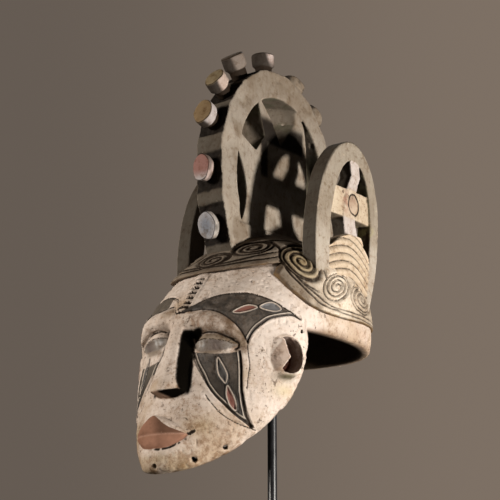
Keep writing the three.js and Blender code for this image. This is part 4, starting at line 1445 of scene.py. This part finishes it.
def carvedWood(name, grain, hasFace=False):
    material, tree, shader, where = startMaterial(name)
    paint = attribute(tree, "paint", True)
    dirt, wear, clayShare = attribute(tree, "dirt"), attribute(tree, "wear"), attribute(tree, "clay")
    broad = noiseAt(tree, where, 28, 5, 0.62)
    fine = noiseAt(tree, where, 190, 6, 0.65)
    speck = noiseAt(tree, where, 430, 3, 0.6)
    # mottled pigment
    grime = attribute(tree, "grime")
    mottled = noiseAt(tree, where, 130, 9, 0.78)
    colour = darker(tree, times(tree, ramp(tree, broad, 0.40, 0.66), 0.35), paint, woodTones["wash"])
    spots = ramp(tree, maths(tree, "MULTIPLY_ADD", grime, 0.14, mottled), 0.54, 0.72)
    colour = darker(tree, times(tree, spots, 0.75), colour, woodTones["spot"])
    colour = darker(tree, times(tree, ramp(tree, fine, 0.50, 0.66), 0.35), colour, woodTones["wash"])
    # grain runs up the block
    stretch = addNode(tree, "ShaderNodeMapping")
    stretch.inputs["Scale"].default_value = (1.0, 1.0, 0.16)
    tree.links.new(where, stretch.inputs["Vector"])
    streak = noiseAt(tree, stretch.outputs[0], 210, 4, 0.6)
    colour = darker(tree, times(tree, ramp(tree, streak, 0.50, 0.72), grain), colour, woodTones["grain"])
    # chips down to brown wood, more where the clay is
    chips = times(tree, ramp(tree, speck, 0.62, 0.68), ramp(tree, broad, 0.38, 0.58))
    flakes = times(tree, ramp(tree, noiseAt(tree, where, 120, 5, 0.7), 0.60, 0.64),
                   ramp(tree, noiseAt(tree, where, 22, 2), 0.46, 0.60))
    chips = maths(tree, "MAXIMUM", chips, flakes)
    chipShare = times(tree, chips, maths(tree, "MULTIPLY_ADD", clayShare, 0.62, 0.12))
    colour = mixColour(tree, chipShare, colour, woodTones["chip"])
    cracked = addNode(tree, "ShaderNodeTexVoronoi", feature="DISTANCE_TO_EDGE")
    feed(tree, cracked.inputs["Vector"], where)
    cracked.inputs["Scale"].default_value = 85
    lines = times(tree, ramp(tree, cracked.outputs["Distance"], 0.030, 0.010),
                  ramp(tree, noiseAt(tree, where, 17, 3), 0.56, 0.68))
    lines = times(tree, lines, times(tree, clayShare, ramp(tree, fine, 0.42, 0.58)))
    colour = mixColour(tree, times(tree, lines, 0.45), colour, woodTones["crack"])
    blackShare = 0.0
    if hasFace:
        colour, blackShare = facePaint(tree, where, colour, broad, fine)
    # the cuts and hollows darken, as soiling and painted shade; rubbed edges turn lighter
    dirtShare = maths(tree, "MULTIPLY_ADD", maths(tree, "SUBTRACT", fine, 0.5), 0.45, dirt)
    dirtShare = ramp(tree, dirtShare, 0.22, 0.78)
    colour = mixColour(tree, dirtShare, colour, woodTones["dirt"])
    # painted shade beside the nose
    if hasFace:
        colour = mixColour(tree, attribute(tree, "soot"), colour, woodTones["soot"])
    rubbed = times(tree, ramp(tree, maths(tree, "MULTIPLY_ADD", fine, 0.6, wear), 0.72, 1.25), 0.45)
    colour = darker(tree, rubbed, colour, woodTones["rubbed"])
    tree.links.new(colour, shader.inputs["Base Color"])
    roughness = maths(tree, "MULTIPLY_ADD", fine, 0.22, 0.66)
    tree.links.new(maths(tree, "MULTIPLY_ADD", blackShare, -0.20, roughness), shader.inputs["Roughness"])
    shine = maths(tree, "MULTIPLY_ADD", blackShare, 0.16, 0.10)
    if hasFace:
        shine = times(tree, shine, maths(tree, "SUBTRACT", 1.0, attribute(tree, "soot")))
    tree.links.new(shine, shader.inputs["Specular IOR Level"])
    height = maths(tree, "MULTIPLY_ADD", fine, 0.6, times(tree, speck, 0.25))
    height = maths(tree, "MULTIPLY_ADD", streak, 0.35 * grain, height)
    height = maths(tree, "SUBTRACT", height, times(tree, maths(tree, "ADD", chipShare, lines), 0.7))
    bumpInto(tree, shader, height, 0.0012, 0.8)
    return material


def steelFinish(name, tone, gloss):
    material, tree, shader, where = startMaterial(name)
    smudge = noiseAt(tree, where, 60, 5, 0.6)
    brighter = tuple(min(1, c * 1.7 + 0.004) for c in tone)
    colour = mixColour(tree, ramp(tree, smudge, 0.4, 0.75), tone, brighter)
    tree.links.new(colour, shader.inputs["Base Color"])
    tree.links.new(maths(tree, "MULTIPLY_ADD", smudge, 0.18, gloss), shader.inputs["Roughness"])
    shader.inputs["Specular IOR Level"].default_value = 0.6
    shader.inputs["Coat Weight"].default_value = 0.4
    shader.inputs["Coat Roughness"].default_value = 0.2
    bumpInto(tree, shader, noiseAt(tree, where, 420, 3, 0.5), 0.00012, 0.5)
    return material


headWood = carvedWood("headPaintedWood", hasFace=True, grain=0.12)
hairWood = carvedWood("hairPaintedWood", grain=0.22)
crestWood = carvedWood("crestWeatheredWood", grain=0.34)
knobWood = carvedWood("knobPaintedWood", grain=0.2)

pieces = []
for make, paint, wood in ((makeHead, paintHead, headWood), (makeHair, paintHair, hairWood),
                          (makeCrest, paintCrest, crestWood)):
    piece, *field = make()
    paint(piece, *field)
    piece.data.materials.append(wood)
    pieces.append(piece)
for side in (1, -1):
    piece, *field = makeHoop(side)
    paintHoop(piece, *field)
    piece.data.materials.append(crestWood)
    pieces.append(piece)
pieces.append(makeKnobs(knobWood))
for piece in pieces:
    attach(piece, "root")
    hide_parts("mask")
print("pieces on the frame", [piece.name for piece in pieces])

rodFinish = steelFinish("rodBlackGloss", (0.012, 0.012, 0.013), 0.22)
footFinish = steelFinish("footBlackSatin", (0.016, 0.016, 0.017), 0.38)
for node, finish in (("stand_rod", rodFinish), ("stand_foot", footFinish)):
    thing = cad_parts[node]
    thing.data.materials.clear()
    thing.data.materials.append(finish)

# The studio: paper floor, a hard light from below on the mask's left, a soft one for the face
studio = {
    "floorTone": (0.15, 0.14, 0.13),
    "floorSize": 6.0,
    "middle": (0, -0.03, 0.5),   # what the soft lights look at
    "leftTone": (0.130, 0.105, 0.086), "rightTone": (0.205, 0.162, 0.128),
    "ambient": 0.022,
    "keyFrom": (1.615, 0.205, 0.111), "keyAt": (0.092, 0.018, 0.553), "keySize": 0.15, "keyPower": 46.0,
    "fillPower": 56.0, "backPower": 14.0,
}
floorMesh = bpy.data.meshes.new("studioFloor")
reach = studio["floorSize"]
floorCorners = [(-reach, -reach, 0), (reach, -reach, 0), (reach, reach, 0), (-reach, reach, 0)]
floorMesh.from_pydata(floorCorners, [], [(0, 1, 2, 3)])
floor = bpy.data.objects.new("studioFloor", floorMesh)
bpy.context.scene.collection.objects.link(floor)
floorPaint, tree, shader, where = startMaterial("floorPaper")
paper = ramp(tree, noiseAt(tree, where, 3, 3), 0.3, 0.8)
paper = darker(tree, paper, studio["floorTone"], (0.93, 0.93, 0.93))
tree.links.new(paper, shader.inputs["Base Color"])
shader.inputs["Roughness"].default_value = 0.9
floorMesh.materials.append(floorPaint)


def softLight(name, spot, aim, size, power, colour):
    light = bpy.data.lights.new(name, "AREA")
    light.shape = "DISK"
    light.size = size
    light.energy = power
    light.color = colour
    lamp = bpy.data.objects.new(name, light)
    lamp.location = spot
    lamp.rotation_euler = (Vector(aim) - Vector(spot)).to_track_quat("-Z", "Y").to_euler()
    lamp.visible_camera = False
    bpy.context.scene.collection.objects.link(lamp)


def fromMiddle(azimuth, elevation, distance):
    a, e = math.radians(azimuth), math.radians(elevation)
    away = Vector((math.sin(a) * math.cos(e), -math.cos(a) * math.cos(e), math.sin(e)))
    return Vector(studio["middle"]) + away * distance


softLight("keyLamp", studio["keyFrom"], studio["keyAt"], studio["keySize"], studio["keyPower"],
          (1.0, 0.955, 0.90))
softLight("faceSoftbox", fromMiddle(-28, 10, 2.4), studio["middle"], 0.7, studio["fillPower"],
          (1.0, 0.93, 0.85))
softLight("backSoftbox", fromMiddle(-150, 35, 2.6), studio["middle"], 1.2, studio["backPower"],
          (1.0, 0.95, 0.9))

world = bpy.data.worlds.new("studioWorld")
bpy.context.scene.world = world
world.use_nodes = True
tree = world.node_tree
tree.nodes.clear()
out = addNode(tree, "ShaderNodeOutputWorld")
seen = addNode(tree, "ShaderNodeBackground")
direction = addNode(tree, "ShaderNodeTexCoord").outputs["Generated"]
spread = addNode(tree, "ShaderNodeVectorMath", operation="DOT_PRODUCT")
tree.links.new(direction, spread.inputs[0])
spread.inputs[1].default_value = (0.79, 0.61, 0.0)
toRight = ramp(tree, spread.outputs["Value"], -0.16, 0.16)
backdrop = mixColour(tree, toRight, studio["leftTone"], studio["rightTone"])
tree.links.new(backdrop, seen.inputs["Color"])
dim = addNode(tree, "ShaderNodeBackground")
dim.inputs["Color"].default_value = (1.0, 0.95, 0.9, 1)
dim.inputs["Strength"].default_value = studio["ambient"]
path = addNode(tree, "ShaderNodeLightPath")
both = addNode(tree, "ShaderNodeMixShader")
tree.links.new(path.outputs["Is Camera Ray"], both.inputs[0])
tree.links.new(dim.outputs[0], both.inputs[1])
tree.links.new(seen.outputs[0], both.inputs[2])
tree.links.new(both.outputs[0], out.inputs[0])

camera = {"lens": 112.6, "from": (1.0031, -1.3221, 0.0705), "at": (-0.0079, -0.0282, 0.5105)}
lens = bpy.data.cameras.new("photoCamera")
lens.lens = camera["lens"]
lens.sensor_width = 36
viewer = bpy.data.objects.new("photoCamera", lens)
viewer.location = camera["from"]
viewer.rotation_euler = (Vector(camera["at"]) - Vector(camera["from"])).to_track_quat("-Z", "Y").to_euler()
bpy.context.scene.collection.objects.link(viewer)
bpy.context.scene.camera = viewer
bpy.context.scene.view_settings.view_transform = "Standard"
